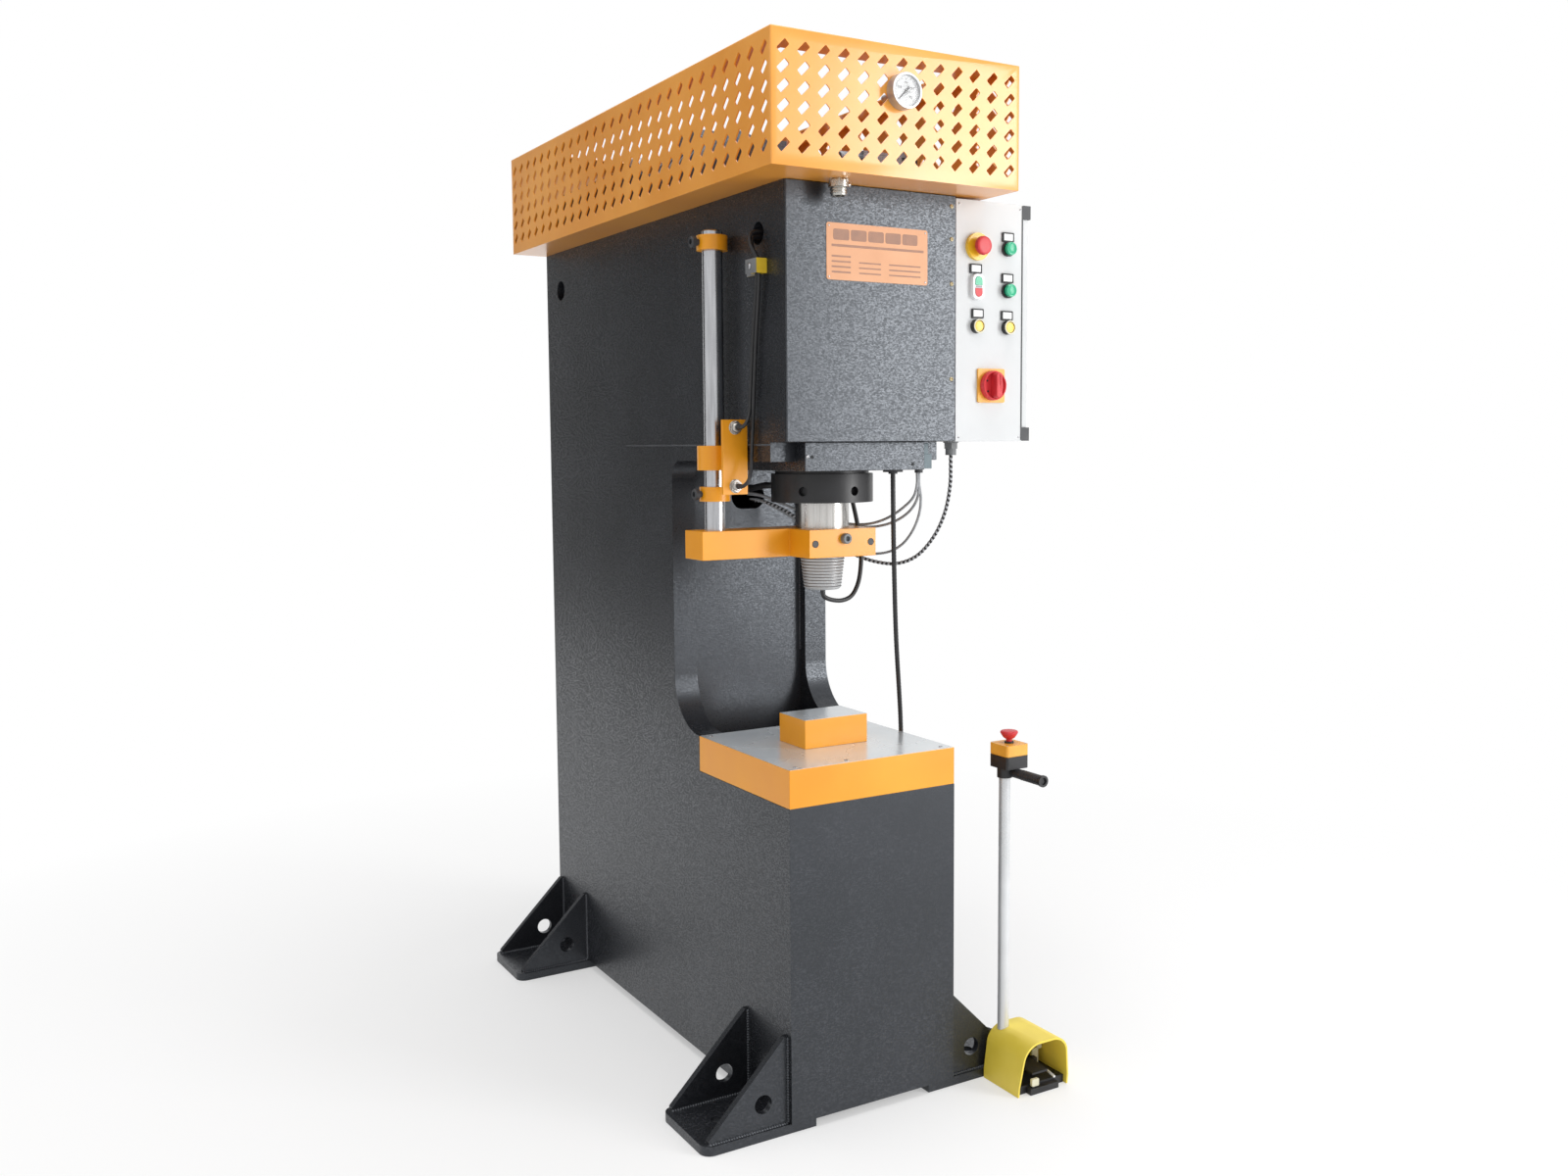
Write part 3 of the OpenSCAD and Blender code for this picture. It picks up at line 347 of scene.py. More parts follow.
class Finish:
    """A procedural material built up from noise on the piece's own coordinates."""

    def __init__(self, name, metal=0.0, coat=0.0, coat_rough=0.1, specular=0.5):
        self.name = name
        self.material = bpy.data.materials.new(name)
        self.material.use_nodes = True
        self.tree = self.material.node_tree
        self.shader = self.tree.nodes["Principled BSDF"]
        self.shader.inputs["Metallic"].default_value = metal
        self.shader.inputs["Coat Weight"].default_value = coat
        self.shader.inputs["Coat Roughness"].default_value = coat_rough
        self.shader.inputs["Specular IOR Level"].default_value = specular
        coordinates = self.tree.nodes.new("ShaderNodeTexCoord")
        self.place = coordinates.outputs["Object"]
        self.uv = coordinates.outputs["UV"]

    def keep(self):
        """Puts the finish into the table under its name."""
        FINISHES[self.name] = self.material

    def node(self, kind, **settings):
        made = self.tree.nodes.new("ShaderNode" + kind)
        for key, value in settings.items():
            setattr(made, key, value)
        return made

    def link(self, source, target):
        self.tree.links.new(source, target)

    def noise(self, scale, detail=2.0, stretch=(1, 1, 1), distortion=0.0):
        mapping = self.node("Mapping")
        mapping.inputs["Scale"].default_value = stretch
        self.link(self.place, mapping.inputs["Vector"])
        noise = self.node("TexNoise")
        noise.inputs["Scale"].default_value = scale
        noise.inputs["Detail"].default_value = detail
        noise.inputs["Distortion"].default_value = distortion
        self.link(mapping.outputs["Vector"], noise.inputs["Vector"])
        return noise.outputs["Fac"]

    def ramp(self, factor, *stops):
        """Colours, each at its position along the factor."""
        ramp = self.node("ValToRGB")
        ramp.color_ramp.elements[0].position = stops[0][0]
        ramp.color_ramp.elements[0].color = stops[0][1]
        ramp.color_ramp.elements[1].position = stops[-1][0]
        ramp.color_ramp.elements[1].color = stops[-1][1]
        for position, colour in stops[1:-1]:
            ramp.color_ramp.elements.new(position).color = colour
        self.link(factor, ramp.inputs["Fac"])
        return ramp.outputs["Color"]

    def tones(self, factor, dark, light, start=0.3, end=0.7):
        """From a dark to a light paint colour, each given as on a colour card."""
        return self.ramp(factor, (start, srgb(*dark)), (end, srgb(*light)))

    def spread(self, factor, low, high, start=0.3, end=0.7):
        made = self.node("MapRange")
        for key, value in (("From Min", start), ("From Max", end), ("To Min", low), ("To Max", high)):
            made.inputs[key].default_value = value
        self.link(factor, made.inputs["Value"])
        return made.outputs["Result"]

    def mix(self, factor, first, second, blend="MIX"):
        """Mixes two colours; the factor is a number or another node's output."""
        mix = self.node("Mix", data_type="RGBA", blend_type=blend)
        if isinstance(factor, float):
            mix.inputs[0].default_value = factor
        else:
            self.link(factor, mix.inputs[0])
        self.link(first, mix.inputs[6])
        self.link(second, mix.inputs[7])
        return mix.outputs[2]

    def colour(self, source):
        self.link(source, self.shader.inputs["Base Color"])

    def rough(self, source):
        self.link(source, self.shader.inputs["Roughness"])

    def relief(self, *layers):
        """Bump from (height, strength, depth in metres) layers."""
        normal = None
        for height, strength, depth in layers:
            bump = self.node("Bump")
            bump.inputs["Strength"].default_value = strength
            bump.inputs["Distance"].default_value = depth
            self.link(height, bump.inputs["Height"])
            if normal:
                self.link(normal, bump.inputs["Normal"])
            normal = bump.outputs["Normal"]
        self.link(normal, self.shader.inputs["Normal"])


def plain_finish(name, dark, light, rough, patch=30, grain=900, grain_depth=0.00006,
                 metal=0.0, coat=0.0, stretch=(1, 1, 1), specular=0.5):
    """A finish with slow colour patches and a fine grain."""
    finish = Finish(name, metal, coat, specular=specular)
    patches = finish.noise(patch, 3)
    finish.colour(finish.tones(patches, dark, light))
    finish.rough(finish.spread(patches, *rough))
    finish.relief((finish.noise(grain, 2, stretch), 0.3, grain_depth))
    finish.keep()


def hammered_paint(name, dark, light, cell=250, depth=0.00016):
    """Textured machine paint: small raised drops that run level across the plates, with a painted sheen on their tops.
    """
    finish = Finish(name, coat_rough=0.3, specular=0.68)
    finish.shader.inputs["Specular Tint"].default_value = (0.86, 0.92, 1.0, 1)
    patches = finish.noise(6, 4)
    drops = finish.noise(cell, 2.5, (0.75, 0.75, 1.5), 0.6)
    fine = finish.noise(cell * 3.2, 2)
    base = finish.tones(patches, dark, light)
    # The drop tops are painted lighter: a painted sheen on the raised drops.
    drop_sheen = finish.tones(patches, [c + 30 for c in dark], [c + 36 for c in light])
    finish.colour(finish.mix(finish.spread(drops, 0, 1, 0.46, 0.64), base, drop_sheen))
    finish.rough(finish.spread(drops, 0.46, 0.24, 0.38, 0.62))
    finish.relief((drops, 0.9, depth), (fine, 0.25, depth / 20))
    finish.keep()


def gloss_paint(name, dark, light, rough=(0.3, 0.42), peel=260, depth=0.00012, coat=0.1):
    """Sprayed gloss paint with a light orange peel and dust in its gloss."""
    finish = Finish(name, 0.0, coat, 0.16)
    patches = finish.noise(4, 4)
    dust = finish.ramp(finish.noise(620, 3), (0.62, (1, 1, 1, 1)), (0.8, (0.78, 0.74, 0.7, 1)))
    finish.colour(finish.mix(0.5, finish.tones(patches, dark, light), dust, "MULTIPLY"))
    finish.rough(finish.spread(patches, *rough))
    finish.relief((finish.noise(peel, 2), 0.35, depth))
    finish.keep()


def brushed_metal(name, dark, light, rough, scale, stretch=(1, 1, 1), depth=0.00005):
    """Machined metal: fine marks drawn out along the directions where stretch is small."""
    finish = Finish(name, 1.0)
    marks = finish.noise(scale, 4, stretch)
    cloud = finish.ramp(finish.noise(9, 3), (0.3, (0.86, 0.86, 0.86, 1)), (0.7, (1, 1, 1, 1)))
    finish.colour(finish.mix(1.0, finish.tones(marks, dark, light, 0.35, 0.65), cloud, "MULTIPLY"))
    finish.rough(finish.spread(marks, *rough))
    finish.relief((marks, 0.4, depth))
    finish.keep()


def wound_cable(name, dark, light, turn_length, share):
    """A cable in an open spiral wrap; its UV map runs round it and, in metres, along it."""
    finish = Finish(name, 0.0, 0.2)
    split = finish.node("SeparateXYZ")
    finish.link(finish.uv, split.inputs["Vector"])
    along = finish.node("Math", operation="DIVIDE")
    along.inputs[1].default_value = turn_length
    finish.link(split.outputs["Y"], along.inputs[0])
    total = finish.node("Math", operation="ADD")
    finish.link(split.outputs["X"], total.inputs[0])
    finish.link(along.outputs[0], total.inputs[1])
    wave = finish.node("Math", operation="FRACT")
    finish.link(total.outputs[0], wave.inputs[0])
    dark, light = srgb(*dark), srgb(*light)
    finish.colour(finish.ramp(wave.outputs[0], (0.0, dark), (share, dark), (share + 0.06, light),
                              (0.94, light), (1.0, dark)))
    finish.rough(finish.spread(finish.noise(300), 0.35, 0.6))
    finish.relief((finish.noise(1400, 2), 0.3, 0.00005))
    finish.keep()


def clear_glass(name, cover):
    """Thin glass that lets most of what lies behind it through."""
    finish = Finish(name)
    finish.shader.inputs["Alpha"].default_value = cover
    finish.rough(finish.spread(finish.noise(60), 0.01, 0.04))
    finish.keep()


WRAP_TURN = 0.011

hammered_paint("black_paint", (14, 15, 18), (22, 23, 27))
gloss_paint("orange_paint", (230, 148, 14), (240, 162, 24))
gloss_paint("cover_paint", (228, 148, 48), (242, 166, 64), (0.28, 0.38), 420, 0.00006, 0.6)
plain_finish("table_steel", (206, 212, 216), (224, 229, 232), (0.2, 0.34), 6, 260, 0.000004,
             metal=0.5, stretch=(0.08, 1, 1))
brushed_metal("ram_chrome", (184, 182, 179), (208, 206, 203), (0.2, 0.3), 200, (1, 1, 0.03), 0.000008)
brushed_metal("rod_chrome", (174, 175, 178), (198, 199, 202), (0.18, 0.28), 130, (1, 1, 0.06), 0.000004)
plain_finish("burnished_steel", (20, 20, 22), (34, 34, 37), (0.34, 0.44), 20, 700, 0.00003, stretch=(0.2, 0.2, 3))
brushed_metal("bright_steel", (150, 150, 152), (214, 214, 216), (0.2, 0.4), 500)
brushed_metal("bright_fittings", (160, 158, 152), (214, 212, 206), (0.2, 0.4), 500)
brushed_metal("sensor_metal", (160, 158, 154), (216, 214, 210), (0.2, 0.4), 600)
plain_finish("clamp_yellow", (216, 180, 30), (232, 198, 48), (0.4, 0.55))
plain_finish("cable_black", (24, 24, 26), (38, 38, 40), (0.36, 0.5), 60, 1200, 0.00002)
plain_finish("cable_grey", (140, 142, 145), (160, 162, 165), (0.4, 0.6), 60, 1200)
wound_cable("conduit_grey", (26, 26, 28), (168, 170, 174), WRAP_TURN, 0.5)
hammered_paint("motor_paint", (64, 70, 78), (84, 90, 98), 260, 0.0002)
hammered_paint("tank_paint", (28, 29, 32), (40, 41, 45))
brushed_metal("valve_metal", (120, 122, 126), (178, 180, 184), (0.3, 0.5), 300, (1, 0.3, 1))
plain_finish("gauge_metal", (172, 173, 175), (194, 195, 197), (0.3, 0.4), 40, 600, 0.00001, metal=0.6)
plain_finish("needle_black", (16, 16, 17), (30, 30, 32), (0.4, 0.55))
plain_finish("cabinet_grey", (204, 206, 207), (214, 216, 217), (0.5, 0.6), 5, 420, 0.00008, specular=0.15)
plain_finish("corner_plastic", (44, 45, 48), (60, 61, 64), (0.45, 0.6), 40, 1000)
plain_finish("bezel_mixed", (24, 24, 26), (40, 40, 42), (0.35, 0.5), 40, 1000)
plain_finish("red_plastic", (196, 40, 48), (210, 54, 60), (0.38, 0.5), 30, 800)
plain_finish("green_plastic", (16, 160, 116), (28, 176, 130), (0.3, 0.42), 30, 800, coat=0.2)
plain_finish("yellow_plastic", (232, 184, 30), (242, 198, 48), (0.3, 0.42), 30, 800, coat=0.2)
plain_finish("pedal_yellow", (232, 206, 70), (242, 218, 92), (0.34, 0.5), 12, 500, 0.0001)
plain_finish("pedal_black", (24, 24, 26), (40, 40, 43), (0.45, 0.62), 30, 700, 0.0001)
plain_finish("pole_steel", (206, 208, 210), (222, 224, 226), (0.26, 0.36), 8, 300, 0.00001,
             metal=0.4, stretch=(1, 1, 0.05))
plain_finish("box_plastic", (26, 26, 28), (42, 42, 45), (0.45, 0.6), 30, 800)
plain_finish("white_plastic", (226, 227, 228), (238, 239, 240), (0.35, 0.5), 20, 700)
plain_finish("print_dark", (150, 112, 92), (168, 128, 106), (0.5, 0.6), 40, 600)
plain_finish("plate_orange", (214, 158, 118), (224, 170, 132), (0.42, 0.5), 14, 500, specular=0.3)
plain_finish("gland_grey", (104, 106, 108), (128, 130, 132), (0.4, 0.55), 30, 700)
plain_finish("block_steel", (92, 106, 112), (114, 128, 134), (0.4, 0.5), 30, 500, specular=0.3)
plain_finish("nose_steel", (176, 177, 178), (196, 197, 198), (0.3, 0.4), 8, 300, 0.00001, metal=0.45)
# Painted shade for the upward-facing thread flanks on the ram's nose.
plain_finish("nose_flank_shade", (92, 93, 95), (118, 119, 121), (0.4, 0.5), 20, 400, 0.00001, metal=0.45)
plain_finish("lid_yellow", (226, 160, 52), (238, 174, 66), (0.35, 0.48), 30, 700)
# Light grey for the weld at the web's left edge: a painted highlight.
plain_finish("weld_highlight", (118, 120, 124), (150, 152, 156), (0.4, 0.6), 200, 900)
plain_finish("screw_brass", (176, 160, 120), (206, 192, 156), (0.3, 0.42), 200, 900, metal=0.4)
hammered_paint("weld_paint", (26, 27, 30), (52, 53, 57), 420, 0.0002)
plain_finish("cream_plastic", (206, 202, 176), (222, 218, 194), (0.4, 0.55), 30, 600)
clear_glass("clear_glass", 0.1)


def dress(piece, slot, body="press", look=None):
    """Gives a piece the finish named by its slot, or another look, and puts it on its body."""
    piece.data.materials.clear()
    piece.data.materials.append(FINISHES[look or slot])
    if body:
        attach(piece, body)
    return piece


def paint_where(piece, test, look):
    """Gives the faces whose middle and normal pass the test a second finish."""
    piece.data.materials.append(FINISHES[look])
    index = len(piece.data.materials) - 1
    for face in piece.data.polygons:
        if test(face.center, face.normal):
            face.material_index = index
    return piece


def soften(node, edge, slot, body="press", segments=2, look=None, degrees=SHARP):
    """A copy of a CAD node with its edges broken, standing for the node."""
    piece = round_edges(copied(node, node + "_skin"), edge, segments, degrees)
    dress(piece, slot, body, look)
    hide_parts(node)
    return piece


# ---- cords: each route is the one its CAD solid follows ----

PEDAL_ROUTE = [
    (128, -540, 1372), (129, -540, 1270), (142, -524, 1170), (168, -494, 1005), (212, -448, 810),
    (228, -430, 700), (262, -405, 300), (282, -400, 140), (320, -400, 40), (372, -404, 10), (430, -424, 9),
    (462, -490, 9), (468, -570, 9), (456, -606, 12), (420, -638, 31), (415, -648, 33), (415, -656, 33)]
SPIRAL_ROUTE = [
    (262, -572, 1412), (262, -572, 1390), (265, -566, 1345), (266, -545, 1282), (259, -510, 1224),
    (242, -468, 1180), (218, -428, 1162), (190, -380, 1164), (154, -320, 1184), (112, -250, 1224),
    (72, -175, 1276), (40, -115, 1300), (32, -80, 1302)]
GREY_ROUTE = [
    (176, -570, 1374), (176, -570, 1350), (184, -556, 1322), (190, -520, 1290), (184, -472, 1264),
    (168, -425, 1250), (150, -380, 1247), (124, -320, 1252), (92, -255, 1268), (58, -185, 1294),
    (28, -125, 1314), (14, -80, 1318)]
GREY_HIGH_ROUTE = [
    (171, -571, 1374), (171, -571, 1350), (176, -552, 1322), (174, -515, 1296), (162, -470, 1271),
    (149, -425, 1257), (136, -380, 1253), (112, -320, 1258), (82, -255, 1272), (50, -185, 1298),
    (22, -125, 1318), (6, -80, 1322)]
GREY_LOW_ROUTE = [
    (180, -566, 1374), (180, -566, 1350), (192, -556, 1316), (206, -528, 1276), (213, -490, 1236),
    (213, -450, 1206), (205, -405, 1187), (184, -350, 1182), (150, -290, 1197), (110, -220, 1234),
    (64, -150, 1280), (30, -105, 1304), (22, -80, 1306)]
NOSE_ROUTE = [
    (0, -450, 1118), (0, -450, 1112), (3, -450, 1102), (14, -450, 1094.5), (50, -448, 1088),
    (80, -444, 1096), (102, -437, 1121), (116, -428, 1158), (123, -418, 1200), (122, -404, 1260),
    (115, -388, 1330), (114, -384, 1360), (114, -384, 1381)]
RING_ROUTE = [
    (-18, -80, 1330), (-18, -115, 1330), (-24, -170, 1334), (-38, -235, 1341), (-50, -290, 1345),
    (-52.9, -319.1, 1345), (-42.4, -345, 1345)]
LOW_SENSOR_ROUTE = [
    (-190, -556, 1872), (-231, -559, 1866), (-239, -564, 1848), (-234, -571, 1828), (-226, -574, 1810),
    (-224, -574, 1780), (-221, -552, 1640), (-220, -529, 1420), (-223, -530, 1384), (-232, -536, 1363),
    (-241, -533, 1353), (-243, -524, 1351.5), (-243, -514.3, 1351.5)]
HIGH_SENSOR_ROUTE = [
    (-190, -548, 1862), (-225, -551, 1856), (-230, -557, 1840), (-228, -562, 1824), (-225, -564, 1810),
    (-224, -564, 1780), (-222, -541, 1640), (-222, -529, 1530), (-227, -532, 1500), (-237, -535, 1480),
    (-243, -526, 1473.5), (-243, -514.3, 1473.5)]


def flowing(route, step):
    """A smooth line through a route's points, in metres, with a point every step."""
    corners = [mm(*p) for p in route]
    ends = [2 * corners[0] - corners[1]] + corners + [2 * corners[-1] - corners[-2]]
    dense = []
    for a, b, c, d in zip(ends, ends[1:], ends[2:], ends[3:]):
        before, span, after = ((q - p).length ** 0.5 for p, q in ((a, b), (b, c), (c, d)))
        lean_b = ((b - a) / before - (c - a) / (before + span) + (c - b) / span) * span
        lean_c = ((c - b) / span - (d - b) / (span + after) + (d - c) / after) * span
        for i in range(24):
            t = i / 24
            dense.append(b * (2 * t**3 - 3 * t**2 + 1) + lean_b * (t**3 - 2 * t**2 + t)
                         + c * (3 * t**2 - 2 * t**3) + lean_c * (t**3 - t**2))
    dense.append(corners[-1])
    travelled = [0.0]
    for p, q in zip(dense, dense[1:]):
        travelled.append(travelled[-1] + (q - p).length)
    count = max(4, round(travelled[-1] / step))
    line, k = [], 0
    for i in range(count + 1):
        goal = travelled[-1] * i / count
        while k < len(dense) - 2 and travelled[k + 1] < goal:
            k += 1
        part = (goal - travelled[k]) / max(travelled[k + 1] - travelled[k], 1e-9)
        line.append(dense[k].lerp(dense[k + 1], min(part, 1)))
    return line, travelled[-1]


def swept(name, line, radius, sides=12, swell=None):
    """A closed tube along a line. swell(along, round) makes a radius bigger or smaller; its UV runs round and along."""
    tangents = [(line[min(i + 1, len(line) - 1)] - line[max(i - 1, 0)]).normalized() for i in range(len(line))]
    across = tangents[0].orthogonal().normalized()
    corners, along, so_far = [], [], 0.0
    for i, (point, ahead) in enumerate(zip(line, tangents)):
        across = (across - across.dot(ahead) * ahead).normalized()
        other = ahead.cross(across)
        so_far += (point - line[i - 1]).length if i else 0
        along.append(so_far)
        for k in range(sides):
            turn = 2 * math.pi * k / sides
            reach = radius * (swell(so_far, k / sides) if swell else 1)
            corners.append(point + (across * math.cos(turn) + other * math.sin(turn)) * reach)
    faces = [(i * sides + k, i * sides + (k + 1) % sides, (i + 1) * sides + (k + 1) % sides, (i + 1) * sides + k)
             for i in range(len(line) - 1) for k in range(sides)]
    faces.append(tuple(range(sides))[::-1])
    faces.append(tuple(range((len(line) - 1) * sides, len(line) * sides)))
    mesh = bpy.data.meshes.new(name)
    mesh.from_pydata(corners, [], faces)
    layer = mesh.uv_layers.new(name="UVMap")
    for face in mesh.polygons:
        for loop, corner in zip(face.loop_indices, face.vertices):
            ring, k = divmod(corner, sides)
            wrap = k + sides if k == 0 and face.index % sides == sides - 1 else k
            layer.data[loop].uv = (wrap / sides, along[ring])
    piece = bpy.data.objects.new(name, mesh)
    bpy.context.collection.objects.link(piece)
    return smooth(piece, 60)


def spiral_wrap(rise):
    """A wrap that stands up by a share of the radius and winds once in each turn length."""
    return lambda along, around: 1 - rise * (0.5 - 0.5 * math.cos(2 * math.pi * (around + along / WRAP_TURN)))


def ribbed(along, around):
    """Shallow rings round a flexible conduit."""
    return 1 - 0.07 * (0.5 - 0.5 * math.cos(2 * math.pi * along / 0.008))


def lay_cord(name, node, route, diameter, slot, step=0.006, sides=12, swell=None, stretched=None):
    """Lays one cord. stretched gives the two places between which it leaves the ram for the frame; the places are not
    used, and a cord given them is put on no body.
    """
    line, length = flowing(route, step)
    piece = swept(name, line, diameter / 2, sides, swell)
    dress(piece, slot, None if stretched else "press")
    if stretched:
        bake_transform(piece)
    if node:
        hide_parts(node)


lay_cord("pedal_conduit_hose", "pedal_conduit", PEDAL_ROUTE, 0.011, "cable_black", 0.004, swell=ribbed)
lay_cord("spiral_wrapped_cable", "spiral_conduit", SPIRAL_ROUTE, 0.009, "conduit_grey", 0.0022, 14,
         spiral_wrap(0.22))
lay_cord("grey_cable_near", "grey_cables", GREY_ROUTE, 0.006, "cable_grey")
lay_cord("grey_cable_high", None, GREY_HIGH_ROUTE, 0.006, "cable_grey")
lay_cord("grey_cable_low", None, GREY_LOW_ROUTE, 0.006, "cable_grey")
lay_cord("sensor_cable_low", "sensor_cable", LOW_SENSOR_ROUTE, 0.008, "cable_black")
lay_cord("sensor_cable_high", None, HIGH_SENSOR_ROUTE, 0.008, "cable_black")
lay_cord("ring_hose_tube", "ring_hose", RING_ROUTE, 0.015, "cable_black", sides=14)
lay_cord("nose_hose_tube", "nose_hose", NOSE_ROUTE, 0.010, "cable_black", 0.005,
         stretched=(mm(123, -418, 1200), mm(114, -384, 1372)))

# ---- frame ----

side_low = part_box("left_side_plate")[0]
front, left, right = side_low.y, side_low.x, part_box("right_side_plate")[1].x
table_low, table_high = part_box("table_plate")
panel_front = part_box("head_front_panel")[0].y

FRAME_NODES = ["left_side_plate", "right_side_plate", "throat_web", "back_plate", "pedestal_front_plate"]
frame_skin = united(FRAME_NODES, "frame_skin")
round_edges(frame_skin, 0.0022)
dress(frame_skin, "black_paint")
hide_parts(*FRAME_NODES)

soften("head_front_panel", 0.0025, "black_paint")
soften("cylinder_mount_block", 0.0015, "black_paint")
for foot in ("foot_front_left", "foot_front_right", "foot_rear_left", "foot_rear_right"):
    soften(foot, 0.0016, "black_paint")

for node, edge in (("table_plate", 0.0018), ("die_block", 0.0014)):
    paint_where(soften(node, edge, "orange_paint"), lambda c, n: n.z > 0.9, "table_steel")


def socket_screw(name, place, axis, radius, height, body="press", look=None):
    """A cap screw with a hexagon socket."""
    head = turned(name, place, axis, [
        (0, radius), (height * 0.8, radius), (height, radius * 0.86), (height, radius * 0.56)], 24)
    deep = Vector(place) + Vector(axis) * height * 1.05
    socket = hexagon(name + "_socket", deep, -Vector(axis), radius * 0.95, height * 0.6)
    return dress(cut_away(head, socket), "bright_steel", body, look)


def cross_screw(name, place, axis, radius, slot="bright_steel", body="press", look=None):
    """A low pan-head screw with a cross recess."""
    head = turned(name, place, axis, [
        (0, radius), (radius * 0.25, radius), (radius * 0.5, radius * 0.8), (radius * 0.62, radius * 0.35)], 20)
    top = Vector(place) + Vector(axis) * radius * 0.62
    aside = Vector(axis).orthogonal().normalized()
    other = Vector(axis).cross(aside)
    for a, b in ((aside, other), (other, aside)):
        low = top - Vector(axis) * radius * 0.4 - a * radius * 0.6 - b * radius * 0.12
        high = top + Vector(axis) * radius * 0.4 + a * radius * 0.6 + b * radius * 0.12
        bpy.ops.mesh.primitive_cube_add(size=1, location=(low + high) / 2)
        recess = bpy.context.object
        recess.scale = [max(abs(v), 1e-5) for v in (high - low)]
        cut_away(head, settle(recess, name + "_recess"))
    return dress(head, slot, body, look)


for index, z in enumerate((1938, 1869.5, 1776, 1575)):
    cross_screw(f"panel_screw_{index}", (0.198, panel_front, mm(z)), FRONT, 0.0045, look="screw_brass")

# The nameplate, bare but for plain printed bars and ruled lines
PLATE_X0, PLATE_X1, PLATE_Z0, PLATE_Z1 = -0.1155, 0.1345, 1.769, 1.883
nameplate = plate("nameplate", (PLATE_X0, panel_front - 0.0012, PLATE_Z0), (PLATE_X1, panel_front, PLATE_Z1),
                  Y, 0.005, 0.0003)
dress(nameplate, "orange_paint", look="plate_orange")


def print_bar(x0, x1, z0, z1, corner=0.001):
    return plate("bar", (x0, panel_front - 0.00145, z0), (x1, panel_front - 0.0011, z1), Y,
                 min(corner, (z1 - z0) * 0.45), 0.0001, 3)


bars = []
for part in range(5):
    bars.append(print_bar(PLATE_X0 + 0.016 + 0.0424 * part, PLATE_X0 + 0.0545 + 0.0424 * part,
                          PLATE_Z1 - 0.034, PLATE_Z1 - 0.012, 0.004))
bars.append(print_bar(PLATE_X0 + 0.012, PLATE_X1 - 0.010, PLATE_Z1 - 0.0475, PLATE_Z1 - 0.0425))
for row in range(4):
    level = PLATE_Z1 - 0.066 - row * 0.0105
    bars.append(print_bar(PLATE_X0 + 0.012, PLATE_X0 + 0.058, level - 0.0022, level + 0.0014))
    if row:
        bars.append(print_bar(PLATE_X0 + 0.078, PLATE_X0 + 0.132, level - 0.0020, level + 0.0010))
        bars.append(print_bar(PLATE_X0 + 0.152, PLATE_X0 + 0.232, level - 0.0020, level + 0.0010))
dress(join("nameplate_print", bars), "orange_paint", look="print_dark")
rivet_places = [(x, z) for x in (PLATE_X0 + 0.006, PLATE_X1 - 0.006) for z in (PLATE_Z0 + 0.006, PLATE_Z1 - 0.006)]
for index, (x, z) in enumerate(rivet_places):
    dress(turned(f"nameplate_rivet_{index}", (x, panel_front - 0.001, z), FRONT,
                 [(0, 0.002), (0.0006, 0.0019), (0.0011, 0.0012), (0.0012, 0.0004)], 14), "bright_steel")


def weld(start, end, size=0.0042, pitch=0.0058):
    """A run of weld: overlapping flattened drops."""
    start, end = Vector(start), Vector(end)
    count = max(2, round((end - start).length / pitch))
    bpy.ops.mesh.primitive_ico_sphere_add(subdivisions=2, radius=size, location=start)
    drop = settle(bpy.context.object, "weld_drop")
    array = drop.modifiers.new("run", "ARRAY")
    array.use_relative_offset = False
    array.use_constant_offset = True
    array.constant_offset_displace = (end - start) / (count - 1)
    array.count = count
    return smooth(apply_modifiers(drop), 60)


foot_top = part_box("foot_front_left")[0].z + 0.020
for name, sx, sy in (("front_left", -1, -1), ("front_right", 1, -1), ("rear_left", -1, 1), ("rear_right", 1, 1)):
    runs = []
    for face in (-94, -79, 79, 94):
        y = sy * 0.550 + mm(face)
        runs.append(weld((sx * 0.214, y, foot_top), (sx * 0.394, y, foot_top)))
        runs.append(weld((sx * 0.2105, y, foot_top + 0.004), (sx * 0.2105, y, foot_top + 0.182)))
    dress(join("foot_welds_" + name, runs), "black_paint", look="weld_paint")

table_seam, head_seam, web_side, web_face = table_low.z - 0.0005, 1.437, 0.150, -0.0985
seams = [weld((left + 0.002, front + 0.004, table_seam), (right - 0.002, front + 0.004, table_seam), 0.003, 0.004),
         weld((web_side, web_face, 0.93), (web_side, web_face, 1.37), 0.004),
         weld((left - 0.0003, 0.129, head_seam), (left - 0.0003, -0.590, head_seam), 0.0022, 0.004)]
dress(join("frame_welds", seams), "black_paint", look="weld_paint")
# The weld along the web's left edge is lighter grey: a painted highlight along that edge.
web_weld = weld((-0.1495, -0.0995, 0.93), (-0.1495, -0.0995, 1.37), 0.0032, 0.005)
dress(web_weld, "black_paint", look="weld_highlight").name = "web_weld"

# Light steel plates on the mounting block's right end, the lower one thicker
block_low, block_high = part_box("cylinder_mount_block")
end_plates = [block("end_plate", (block_high.x - 0.0005, block_low.y + 0.0015, z0),
                    (block_high.x + reach, block_low.y + 0.036, z1), 0.0012)
              for reach, z0, z1 in ((0.0110, 1.4155, 1.4385), (0.0205, 1.3840, 1.4158))]
dress(join("block_end_plates", end_plates), "black_paint", look="block_steel")
for index, (x, z, look) in enumerate(((-0.1445, 1.4125, None), (-0.1330, 1.4115, "corner_plastic"),
                                      (0.119, 1.394, "corner_plastic"))):
    cross_screw(f"block_screw_{index}", (x, block_low.y, z), FRONT, 0.0036, look=look)
for index, (x, y) in enumerate(((-0.186, -0.640), (0.186, -0.640), (-0.190, -0.270), (0.190, -0.270),
                                (-0.060, -0.640), (0.060, -0.262))):
    socket_screw(f"table_screw_{index}", (x, y, table_high.z - 0.0014), UP, 0.0048, 0.0026)

# ---- cylinder, ram and guide ----

arm_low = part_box("antirotation_arm")[0]

